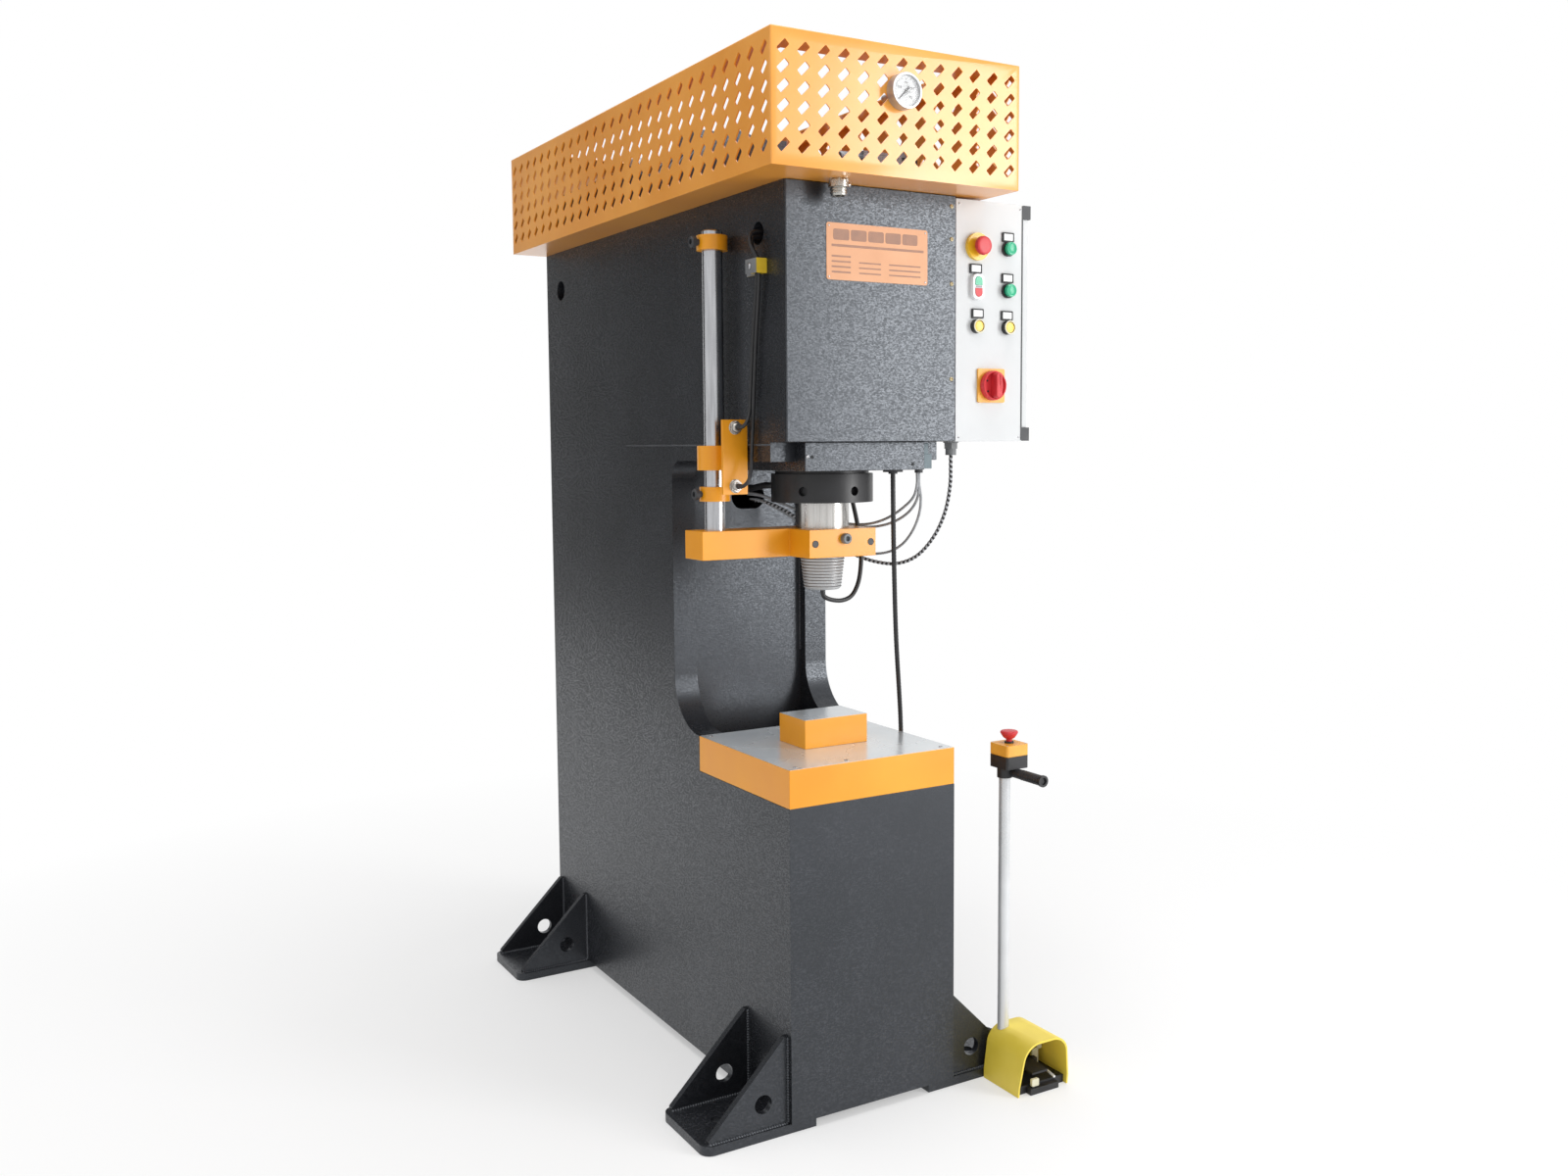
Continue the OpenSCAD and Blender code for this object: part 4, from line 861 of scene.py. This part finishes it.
soften("ring_nut", 0.0012, "burnished_steel")
soften("cylinder_barrel", 0.0015, "motor_paint", look="black_paint")
ram = soften("ram_rod", 0.0007, "ram_chrome", "ram", 1, degrees=24)
paint_where(ram, lambda c, n: c.z < arm_low.z, "nose_steel")
# Upward-facing thread flanks on the nose get a darker finish: painted shade between the bright ridges.
paint_where(ram, lambda c, n: c.z < arm_low.z and 0.3 < n.z < 0.98, "nose_flank_shade")

soften("antirotation_arm", 0.0018, "orange_paint", "ram")
soften("guide_rod", 0.0008, "rod_chrome", "ram")
soften("stop_collars", 0.0012, "orange_paint", "ram")
for node, edge in (("guide_bracket", 0.0014), ("sensor_plate", 0.0010)):
    soften(node, edge, "orange_paint")

cap_screw = socket_screw("arm_cap_screw", (0.005, arm_low.y, arm_low.z + 0.040), FRONT, 0.0115, 0.012,
                         "ram", "gland_grey")
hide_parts("arm_screws")
SET_SCREW = [(0, 0.0068), (0.0088, 0.0068), (0.0094, 0.0060), (0.0094, 0.0034), (0.0040, 0.0032)]
SET_SCREW_RIM = [(0, 0.0078), (0.0008, 0.0078), (0.0010, 0.0072), (0.0006, 0.0070)]
for index, x in enumerate((-0.070, 0.072)):
    z = arm_low.z + 0.0305
    dress(turned(f"arm_set_screw_{index}", (x, arm_low.y + 0.0105, z), FRONT, SET_SCREW, 6, 20),
          "bright_steel", "ram", "burnished_steel")
    dress(turned(f"arm_screw_rim_{index}", (x, arm_low.y + 0.0002, z), FRONT, SET_SCREW_RIM, 30),
          "bright_steel", "ram", "burnished_steel")

rod_low, rod_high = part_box("guide_rod")
rod_y = (rod_low.y + rod_high.y) / 2
collar_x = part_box("stop_collars")[0].x
BOLT_KNOB = [(0, 0.0100), (0.001, 0.0118), (0.010, 0.0118), (0.0118, 0.0106), (0.0118, 0.0060), (0.0060, 0.0056)]
for index, z in enumerate((1.333, 1.862)):
    dress(rod(f"collar_bolt_{index}", (collar_x + 0.006, rod_y, z), (collar_x - 0.007, rod_y, z), 0.0068),
          "bright_steel", "ram", "corner_plastic")
    dress(turned(f"collar_bolt_head_{index}", (collar_x - 0.006, rod_y, z), LEFT, BOLT_KNOB, 30),
          "bright_steel", "ram", "corner_plastic")

# The two sensors: a threaded barrel between hexagon nuts, with a ringed face
SENSOR_HEIGHTS = (1.3515, 1.4735)
SENSOR_WASHER = [(0, 0.0145), (0.0010, 0.0145), (0.0016, 0.0138), (0.0016, 0.0098)]
SENSOR_BARREL = [(0, 0.0086)]
for turn in range(9):
    SENSOR_BARREL += [(turn * 0.0014 + along, radius)
                      for along, radius in ((0.0002, 0.0086), (0.0007, 0.0090), (0.0012, 0.0086))]
SENSOR_BARREL += [(0.0136, 0.0084), (0.0140, 0.0078), (0.0140, 0.0060), (0.0134, 0.0058), (0.0134, 0.0030),
                  (0.0142, 0.0028)]
SENSOR_BOOT = [(0, 0.0060), (0.0040, 0.0060), (0.0050, 0.0054), (0.0120, 0.0050), (0.0125, 0.0042)]
sensor_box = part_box("limit_sensors")
sensor_x = (sensor_box[0].x + sensor_box[1].x) / 2
plate_low, plate_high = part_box("sensor_plate")
face, back = plate_low.y, plate_high.y
for index, z in enumerate(SENSOR_HEIGHTS):
    washer = turned(f"sensor_washer_{index}", (sensor_x, face, z), FRONT, SENSOR_WASHER, 36)
    nut = hexagon(f"sensor_nut_{index}", (sensor_x, face - 0.0015, z), FRONT, 0.0235, 0.0050)
    rear_nut = hexagon(f"sensor_rear_nut_{index}", (sensor_x, back, z), BACK, 0.0235, 0.0050)
    barrel = turned(f"sensor_barrel_{index}", (sensor_x, face, z), FRONT, SENSOR_BARREL, 36)
    tail = rod(f"sensor_tail_{index}", (sensor_x, back, z), (sensor_x, back + 0.0315, z), 0.0088)
    dress(join(f"limit_sensor_{index}", [barrel, washer, nut, rear_nut, tail]), "sensor_metal")
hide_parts("limit_sensors")
for index, z in enumerate(SENSOR_HEIGHTS):
    dress(turned(f"sensor_boot_{index}", (sensor_x, face - 0.0125, z), FRONT, SENSOR_BOOT, 28), "cable_black")

# Clip on the plate: a narrow yellow strap on a steel tab with its screw
clip_low, clip_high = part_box("cable_clamp")
clip = soften("cable_clamp", 0.0010, "clamp_yellow")
paint_where(clip, lambda c, n: c.y > -0.5552 or n.x < -0.5, "gland_grey")
clip_plate = block("cable_clip_plate", (clip_low.x - 0.0012, clip_low.y + 0.0004, clip_low.z + 0.0005),
                   (clip_low.x + 0.0004, clip_low.y + 0.0445, clip_high.z - 0.0005), 0.0004)
dress(clip_plate, "valve_metal", look="gland_grey")
cross_screw("cable_clip_screw", (clip_low.x - 0.0010, clip_low.y + 0.0265, (clip_low.z + clip_high.z) / 2),
            LEFT, 0.0062)

# ---- cover and power unit ----

cover_low, cover_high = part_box("cover_flange")
cover_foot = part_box("cover_front")[0].z
COVER_NODES = ["cover_flange", "cover_front", "cover_rear", "cover_left", "cover_right"]
OUTER_PLANES = ((0, (cover_low.x, cover_high.x)), (1, (cover_low.y, cover_high.y)), (2, (cover_high.z,)))


def on_outer_edge(a, b):
    """True for the long corners of the cover's outer box."""
    return sum(any(abs(a[axis] - v) < 1e-4 and abs(b[axis] - v) < 1e-4 for v in values)
               for axis, values in OUTER_PLANES) >= 2


cover_skin = smooth(bevel_where(united(COVER_NODES, "cover_skin"), on_outer_edge, 0.0028, 3))
dress(cover_skin, "cover_paint")
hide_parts(*COVER_NODES)
soften("cover_floor", 0.0008, "cover_paint")

soften("oil_tank", 0.003, "tank_paint")
soften("pump_motor", 0.0012, "motor_paint")
soften("valve_block", 0.0012, "valve_metal")
tank_top, motor_top, valve_top = (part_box(node)[1].z for node in ("oil_tank", "pump_motor", "valve_block"))
dress(turned("tank_breather", (-0.110, 0.280, tank_top - 0.002), UP,
             [(0, 0.024), (0.004, 0.026), (0.020, 0.026), (0.026, 0.021), (0.026, 0.008), (0.030, 0.007)], 36),
      "gauge_metal")
dress(plate("motor_name_place", (-0.100, -0.040, motor_top - 0.0012), (-0.020, 0.030, motor_top + 0.0012),
            Z, 0.003, 0.0003), "gauge_metal")
for index, (x, y) in enumerate(((0.130, -0.470), (0.130, -0.380))):
    coil = plate(f"valve_coil_{index}", (x + 0.062, y - 0.022, valve_top - 0.046),
                 (x + 0.098, y + 0.022, valve_top - 0.002), X, 0.006, 0.001)
    dress(coil, "valve_metal", look="bezel_mixed")
    plug = block(f"valve_plug_{index}", (x + 0.068, y - 0.012, valve_top - 0.004),
                 (x + 0.092, y + 0.012, valve_top + 0.026), 0.002)
    dress(plug, "valve_metal", look="cable_grey")


def pipe(name, route, diameter, look=None):
    line, _ = flowing(route, 0.005)
    dress(swept(name, line, diameter / 2, 14), "bright_fittings", look=look)


pipe("pressure_pipe", [(-60, -336, 2064), (-60, -356, 2064), (-56, -380, 2050), (-30, -410, 2030), (20, -430, 2010),
                       (60, -436, 2002), (74, -436, 2000)], 0.014)
pipe("head_pipe", [(128, -512, 2000), (128, -545, 2000), (110, -575, 2004), (60, -586, 2004), (20, -570, 1996),
                   (6, -540, 1980), (4, -520, 1968)], 0.016)
pipe("return_pipe", [(90, -322, 2010), (90, -300, 2014), (100, -240, 2050), (120, -120, 2080), (126, 20, 2090),
                     (122, 150, 2096), (110, 220, 2110), (100, 260, 2124), (100, 268, 2118)], 0.020, "cable_black")
for name, place, axis, across, height in (
        ("pressure_union_low", (-0.060, -0.336, 2.064), FRONT, 0.024, 0.016),
        ("pressure_union_high", (0.0705, -0.436, 2.000), LEFT, 0.024, 0.016),
        ("head_union", (0.128, -0.5195, 2.000), FRONT, 0.027, 0.018),
        ("return_union", (0.090, -0.3205, 2.010), BACK, 0.030, 0.018),
        ("tank_union", (0.100, 0.268, 2.1155), UP, 0.032, 0.016)):
    dress(hexagon(name, place, axis, across, height), "bright_fittings")

# Nipple under the cover: a threaded neck in a round flange, with a side screw
NIPPLE_X, NIPPLE_Y, NIPPLE_FOOT = -0.112, front - 0.042, 1.900
NIPPLE = [(0, 0.0175), (0.004, 0.0205), (0.017, 0.0205), (0.018, 0.0168)]
for turn in range(2):
    low = 0.0195 + turn * 0.0060
    NIPPLE += [(low, 0.0158), (low + 0.0014, 0.0172), (low + 0.0030, 0.0172), (low + 0.0044, 0.0158)]
NIPPLE += [(0.0320, 0.0156), (0.0335, 0.0148), (0.0335, 0.0118), (0.0200, 0.0116)]
dress(turned("cover_nipple", (NIPPLE_X, NIPPLE_Y, cover_foot), DOWN, NIPPLE), "bright_fittings")
dress(rod("nipple_side_screw", (NIPPLE_X, NIPPLE_Y, cover_foot - 0.010),
          (NIPPLE_X + 0.026, NIPPLE_Y, cover_foot - 0.010), 0.0045), "bright_fittings")
glands = soften("cable_glands", 0.0008, "bright_fittings")
cut_away(glands, block("nipple_end", (NIPPLE_X - 0.03, NIPPLE_Y - 0.03, NIPPLE_FOOT),
                       (NIPPLE_X + 0.03, NIPPLE_Y + 0.03, cover_foot - 0.012)))
paint_where(glands, lambda c, n: c.z < 1.5 and c.x > 0.2, "gland_grey")
paint_where(glands, lambda c, n: c.z < 1.5 and c.x < 0.2, "corner_plastic")
dress(turned("cabinet_gland_lock", (0.262, -0.572, 1.4425), DOWN,
             [(0, 0.0170), (0.0028, 0.0170), (0.0040, 0.0153)], 32), "bright_fittings", look="gland_grey")

# ---- pressure gauge ----

gauge_low, gauge_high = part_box("gauge_case")
dial_x, dial_z = gauge_low.x + 0.035, (gauge_low.z + gauge_high.z) / 2
dial_y = gauge_low.y + 0.007
DIAL_SWEEP, DIAL_TICKS, DIAL_NUMBERS = 270, 40, 4


def dial_way(step, steps):
    """The angle of a mark on the dial, clockwise from the lower left, and the way out to it."""
    angle = math.radians(225 - step * DIAL_SWEEP / steps)
    return angle, Vector((math.cos(angle), 0, math.sin(angle)))


soften("gauge_case", 0.0012, "gauge_metal")
smooth(NODES["gauge_needle"], 30)
dial = turned("gauge_dial", (dial_x, dial_y - 0.0001, dial_z), FRONT,
              [(0, 0.0302), (0.0003, 0.0300), (0.0004, 0.0290)], 64)
hole = rod("dial_hole", (dial_x, dial_y + 0.005, dial_z), (dial_x, dial_y - 0.005, dial_z), 0.0032)
dress(cut_away(dial, hole), "gauge_metal", look="white_plastic")
marks = []
for step in range(DIAL_TICKS + 1):
    angle, reach = dial_way(step, DIAL_TICKS)
    long = step % (DIAL_TICKS / DIAL_NUMBERS) == 0
    inner, outer = (0.0205 if long else 0.0232), 0.0256
    middle = Vector((dial_x, dial_y - 0.00055, dial_z)) + reach * (inner + outer) / 2
    bpy.ops.mesh.primitive_cube_add(size=1, location=middle, rotation=(0, -angle, 0),
                                    scale=(outer - inner, 0.0003, 0.0008 if long else 0.0004))
    marks.append(settle(bpy.context.object, "tick"))
for step in range(DIAL_NUMBERS + 1):
    place = Vector((dial_x, dial_y - 0.0006, dial_z)) + dial_way(step, DIAL_NUMBERS)[1] * 0.0160
    bpy.ops.object.text_add(location=place, rotation=(math.pi / 2, 0, 0))
    number = bpy.context.object
    number.data.body = str(step * 100)
    number.data.size = 0.0062
    number.data.align_x, number.data.align_y = "CENTER", "CENTER"
    number.data.extrude = 0.0001
    take(number)
    bpy.ops.object.convert(target="MESH")
    marks.append(settle(bpy.context.object, "number"))
dress(join("gauge_print", marks), "needle_black")
dress(turned("gauge_glass", (dial_x, gauge_low.y + 0.0016, dial_z), FRONT,
             [(0, 0.0302), (0.0008, 0.0302), (0.0010, 0.0296)], 64), "gauge_metal", look="clear_glass")
dress(turned("gauge_stem_nut", (dial_x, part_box("cover_front")[0].y + 0.0035, dial_z), BACK,
             [(0, 0.0140), (0.001, 0.0150), (0.009, 0.0150), (0.010, 0.0140)], 6, 20), "bright_fittings")

# ---- control cabinet ----

cab_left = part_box("cabinet_body")[0].x
cab_top, cab_foot = 1.956, 1.442
door_low, door_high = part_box("cabinet_door")
COLUMN_LEFT, COLUMN_RIGHT = 0.264, 0.3485
STOP_Z, TWIN_Z, YELLOW_Z = 1.858, 1.773, 1.689
SWITCH_X, SWITCH_Z = 0.3035, 1.5625
CAB_EDGE = 0.392

soften("cabinet_body", 0.0008, "cabinet_grey", degrees=50)
soften("cabinet_door", 0.0016, "cabinet_grey", "door")
soften("door_corners", 0.0022, "corner_plastic", "door")
gasket = block("cabinet_gasket", (CAB_EDGE - 0.0030, front - 0.0008, cab_foot + 0.002),
               (door_low.x - 0.0001, front + 0.002, cab_top - 0.002), 0.0003)
dress(gasket, "corner_plastic")


def door_seal_strip(y0, y1, z0, z1):
    return block("seal", (door_low.x - 0.0003, y0, z0), (door_low.x + 0.0012, y1, z1), 0.0003)


seal_strips = [door_seal_strip(front + 0.028, front + 0.372, z - 0.003, z + 0.003)
               for z in (cab_foot + 0.034, cab_top - 0.036)]
seal_strips += [door_seal_strip(y - 0.003, y + 0.003, cab_foot + 0.034, cab_top - 0.036)
                for y in (front + 0.030, front + 0.370)]
dress(join("door_seal", seal_strips), "corner_plastic", "door")
screw_places = [(x, z) for x in (cab_left + 0.008, CAB_EDGE - 0.008) for z in (cab_foot + 0.009, cab_top - 0.010)]
for index, (x, z) in enumerate(screw_places):
    cross_screw(f"cabinet_screw_{index}", (x, front, z), FRONT, 0.0024)
screw_places = [(y, z) for y in (front + 0.013, front + 0.387) for z in (cab_foot + 0.015, cab_top - 0.015)]
for index, (y, z) in enumerate(screw_places):
    cross_screw(f"corner_screw_{index}", (door_high.x + 0.0053, y, z), RIGHT, 0.0046, body="door")

# Legend holders: a black bevelled frame with a plain white plate let in
for index, (x, z) in enumerate(((0.349, 1.8835), (0.261, 1.8115), (0.348, 1.7955), (0.2665, 1.7165), (0.347, 1.7150))):
    holder = plate(f"legend_holder_{index}", (x - 0.0155, front - 0.0050, z - 0.0102), (x + 0.0155, front, z + 0.0102),
                   Y, 0.0016, 0.0009)
    well = block("well", (x - 0.0125, front - 0.008, z - 0.0074), (x + 0.0125, front - 0.0034, z + 0.0074), 0.0004)
    dress(cut_away(holder, well), "bezel_mixed")
    insert = plate(f"legend_plate_{index}", (x - 0.0122, front - 0.0046, z - 0.0071),
                   (x + 0.0122, front - 0.0030, z + 0.0071), Y, 0.0012, 0.0003)
    dress(insert, "bezel_mixed", look="white_plastic")

# Emergency stop: yellow collar and a red mushroom with a turned rim
bezels = soften("button_bezels", 0.0011, "bezel_mixed")
paint_where(bezels, lambda c, n: abs(c.x - COLUMN_LEFT) < 0.04 and abs(c.z - STOP_Z) < 0.031, "yellow_plastic")
paint_where(bezels, lambda c, n: abs(c.x - COLUMN_LEFT) < 0.018 and abs(c.z - TWIN_Z) < 0.0275, "white_plastic")
paint_where(bezels, lambda c, n: abs(c.x - SWITCH_X) < 0.038 and abs(c.z - SWITCH_Z) < 0.038, "lid_yellow")
stop = turned("estop_head", (COLUMN_LEFT, front, STOP_Z), FRONT, [
    (-0.0215, 0.0098), (0.0190, 0.0100), (0.0197, 0.0112), (0.0201, 0.0165), (0.0207, 0.0192), (0.0222, 0.0200),
    (0.0272, 0.0198), (0.0294, 0.0190), (0.0306, 0.0174), (0.0311, 0.0145), (0.0313, 0.0090), (0.0311, 0.0030)], 56)
dress(stop, "red_plastic", "emergency_stop")
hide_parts("estop_button")

GREEN_CAP = [(-0.0215, 0.0088), (0.0045, 0.0088), (0.0052, 0.0118), (0.0100, 0.0122), (0.0104, 0.0136),
             (0.0112, 0.0141), (0.0154, 0.0141), (0.0168, 0.0138), (0.0178, 0.0128), (0.0181, 0.0108),
             (0.0176, 0.0100), (0.0175, 0.0020)]
GREEN_RING = [(0, 0.0160), (0.0008, 0.0162), (0.0016, 0.0158), (0.0018, 0.0151)]
YELLOW_LENS = [(-0.0215, 0.0088), (0.0045, 0.0088), (0.0052, 0.0112), (0.0118, 0.0116), (0.0126, 0.0111),
               (0.0129, 0.0100), (0.0126, 0.0020)]
YELLOW_RING = [(0, 0.0148), (0.0006, 0.0151), (0.0014, 0.0146), (0.0016, 0.0130)]


def push_button(node, ending, body, x, z, shape, slot, ring_shape, ring_depth, ring_hole, ring_look=None):
    """A turned push button that stands for its node, and the ring in front of its bezel."""
    button = turned(node + ending, (x, front, z), FRONT, shape)
    dress(button, slot, body)
    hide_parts(node)
    ring = turned(node + "_ring", (x, front - ring_depth, z), FRONT, ring_shape, 44)
    opening = rod("ring_hole", (x, front, z), (x, front - 0.02, z), ring_hole)
    dress(cut_away(ring, opening), "bezel_mixed", look=ring_look)


for node, body in (("start_button", "start"), ("cycle_button", "cycle")):
    low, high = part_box(node)
    push_button(node, "_cap", body, COLUMN_RIGHT, (low.z + high.z) / 2, GREEN_CAP, "green_plastic",
                GREEN_RING, 0.0058, 0.0146)
for node, body, x in (("left_yellow_button", "left_yellow", COLUMN_LEFT),
                      ("right_yellow_button", "right_yellow", COLUMN_RIGHT)):
    push_button(node, "_lens", body, x, YELLOW_Z, YELLOW_LENS, "yellow_plastic",
                YELLOW_RING, 0.0125, 0.0124, "cream_plastic")
soften("twin_button_green", 0.0012, "green_plastic", "twin_green")
soften("twin_button_red", 0.0012, "red_plastic", "twin_red")
twin_label = block("twin_label", (COLUMN_LEFT - 0.0085, front - 0.0104, TWIN_Z - 0.0021),
                   (COLUMN_LEFT + 0.0085, front - 0.0098, TWIN_Z + 0.0021), 0.0002)
dress(twin_label, "bezel_mixed", look="cable_grey")

# Main switch: a dished red disc with a raised rim, a grip across it and small screws
disc = turned("switch_disc", (SWITCH_X, front, SWITCH_Z), FRONT, [
    (-0.0215, 0.0068), (0.0053, 0.0069), (0.0054, 0.0300), (0.0062, 0.0320), (0.0160, 0.0318), (0.0186, 0.0306),
    (0.0192, 0.0290), (0.0186, 0.0276), (0.0150, 0.0266), (0.0140, 0.0240), (0.0142, 0.0060)], 72)
grip = plate("switch_grip", (SWITCH_X - 0.0080, front - 0.0340, SWITCH_Z - 0.0268),
             (SWITCH_X + 0.0080, front - 0.0135, SWITCH_Z + 0.0268), Y, 0.0050, 0.0022)
groove = block("groove", (SWITCH_X - 0.0012, front - 0.036, SWITCH_Z + 0.006),
               (SWITCH_X + 0.0012, front - 0.0332, SWITCH_Z + 0.022), 0.0003)
switch = dress(join("switch_knob", [disc, cut_away(grip, groove)]), "red_plastic", "main_switch")
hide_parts("switch_handle")
for index, (x, z) in enumerate(((-0.0185, 0.010), (0.0185, -0.010), (-0.0165, -0.0125), (0.0165, 0.0125))):
    cross_screw(f"switch_screw_{index}", (SWITCH_X + x, front - 0.0140, SWITCH_Z + z), FRONT, 0.0022, "red_plastic",
                "main_switch", "bezel_mixed")

# ---- pedal station ----

guard_low, guard_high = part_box("pedal_guard")
guard_x = (guard_low.x + guard_high.x) / 2
soften("pedal_guard", 0.0014, "pedal_yellow")
soften("pedal_base", 0.0014, "pedal_black")
soften("pedal_treadle", 0.0014, "pedal_black", "treadle")
treadle_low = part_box("pedal_treadle")[0]
TREADLE_SLOPE = 0.07
ridges = []
for row in range(6):
    y = treadle_low.y + 0.008 + row * 0.0085
    rise = (y - treadle_low.y) * TREADLE_SLOPE
    ridges.append(block("ridge", (guard_x - 0.018, y - 0.0016, treadle_low.z + 0.0042 + rise),
                        (guard_x + 0.018, y + 0.0016, treadle_low.z + 0.0066 + rise), 0.0007))
dress(join("treadle_grips", ridges), "pedal_black", "treadle")
TRAY = 0.016  # a little below the tray's upper face, so that what stands on it sinks in
bracket = [plate("upright", (0.4010, -0.7015, TRAY), (0.4190, -0.6985, 0.0600), Y, 0.0025),
           plate("head", (0.4155, -0.7015, 0.0560), (0.4290, -0.6985, 0.0700), Y, 0.0025),
           plate("foot", (0.3860, -0.7150, TRAY), (0.4190, -0.6985, 0.0215), Z, 0.0025)]
dress(join("pedal_bracket", bracket), "pedal_black", look="cream_plastic")
dress(plate("pedal_contact_block", (0.3790, -0.6975, TRAY), (0.4000, -0.6720, 0.078), Z, 0.003, 0.001),
      "pedal_black")
dress(plate("pedal_latch", (0.3360, -0.7790, TRAY), (0.3560, -0.7715, 0.0330), Y, 0.003, 0.001),
      "pedal_black", look="cream_plastic")
dress(rod("pedal_latch_rod", (0.4045, -0.7465, 0.0275), (0.4000, -0.7790, 0.0255), 0.0028),
      "pole_steel", look="white_plastic")
dress(turned("pedal_cable_gland", (0.415, guard_high.y - 0.0005, 0.033), BACK, [
    (0, 0.0105), (0.0060, 0.0105), (0.0066, 0.0085), (0.0120, 0.0080), (0.0126, 0.0068)], 32), "pedal_black")

pole_low, pole_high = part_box("pedal_pole")
pole_y = (pole_low.y + pole_high.y) / 2
soften("pedal_pole", 0.0004, "pole_steel")
pole_box = soften("pole_box", 0.0012, "box_plastic")
BOX_X, LID_Z, LID_TOP = 0.350, 0.744, 0.770
paint_where(pole_box, lambda c, n: LID_Z + 0.0002 < c.z < LID_TOP + 0.0005 and
            (abs(c.x - BOX_X) > 0.016 or abs(c.y - pole_y) > 0.016 or n.z > 0.5), "lid_yellow")
for index, (sx, sy) in enumerate(((-1, -1), (-1, 1), (1, -1), (1, 1))):
    cross_screw(f"lid_screw_{index}", (BOX_X + sx * 0.0255, pole_y + sy * 0.0255, LID_TOP - 0.0008), UP, 0.0024)
HANDLE_Z = 0.706
handle_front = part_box("pole_box")[0].y
ribs = [turned("rib", (BOX_X, handle_front + 0.0085 + row * 0.0078, HANDLE_Z), FRONT,
               [(0, 0.0108), (0.0010, 0.0116), (0.0032, 0.0116), (0.0042, 0.0108)], 36) for row in range(9)]
dress(join("handle_ribs", ribs), "box_plastic")
mushroom = turned("pole_stop_head", (BOX_X, pole_y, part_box("pole_estop")[0].z), UP, [
    (0, 0.0064), (0.001, 0.0068), (0.0412, 0.0068), (0.0425, 0.0100), (0.0447, 0.0130), (0.0490, 0.0160),
    (0.0535, 0.0190), (0.0556, 0.0199), (0.0580, 0.0197), (0.0598, 0.0176), (0.0606, 0.0120), (0.0608, 0.0030)], 56)
dress(mushroom, "red_plastic", "pole_stop")
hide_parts("pole_estop")

NODES["gauge_needle"].data.materials.clear()
NODES["gauge_needle"].data.materials.append(FINISHES["needle_black"])

# ---- floor ----

def whitened_floor():
    """Near white paint that keeps the shadows near the press and fades into the white background further out."""
    finish = Finish("floor")
    finish.colour(finish.ramp(finish.noise(0.6, 2), (0.3, (0.92, 0.92, 0.92, 1)), (0.7, (0.94, 0.94, 0.94, 1))))
    finish.rough(finish.spread(finish.noise(3), 0.7, 0.8))
    reach = finish.node("VectorMath", operation="LENGTH")
    finish.link(finish.place, reach.inputs[0])
    fade = finish.spread(reach.outputs["Value"], 0.4, 1.0, 1.0, 2.8)
    share = finish.node("Math", operation="MULTIPLY")
    finish.link(seen_directly(finish.tree), share.inputs[0])
    finish.link(fade, share.inputs[1])
    white = finish.node("Emission")
    white.inputs["Color"].default_value = (1, 1, 1, 1)
    white.inputs["Strength"].default_value = 1.0
    both = finish.node("MixShader")
    finish.link(share.outputs[0], both.inputs[0])
    finish.link(finish.shader.outputs[0], both.inputs[1])
    finish.link(white.outputs[0], both.inputs[2])
    finish.link(both.outputs[0], finish.tree.nodes["Material Output"].inputs["Surface"])
    return finish.material


bpy.ops.mesh.primitive_plane_add(size=24, location=(0, 0, -0.0005))
floor = settle(bpy.context.object, "floor")
floor.data.materials.append(whitened_floor())
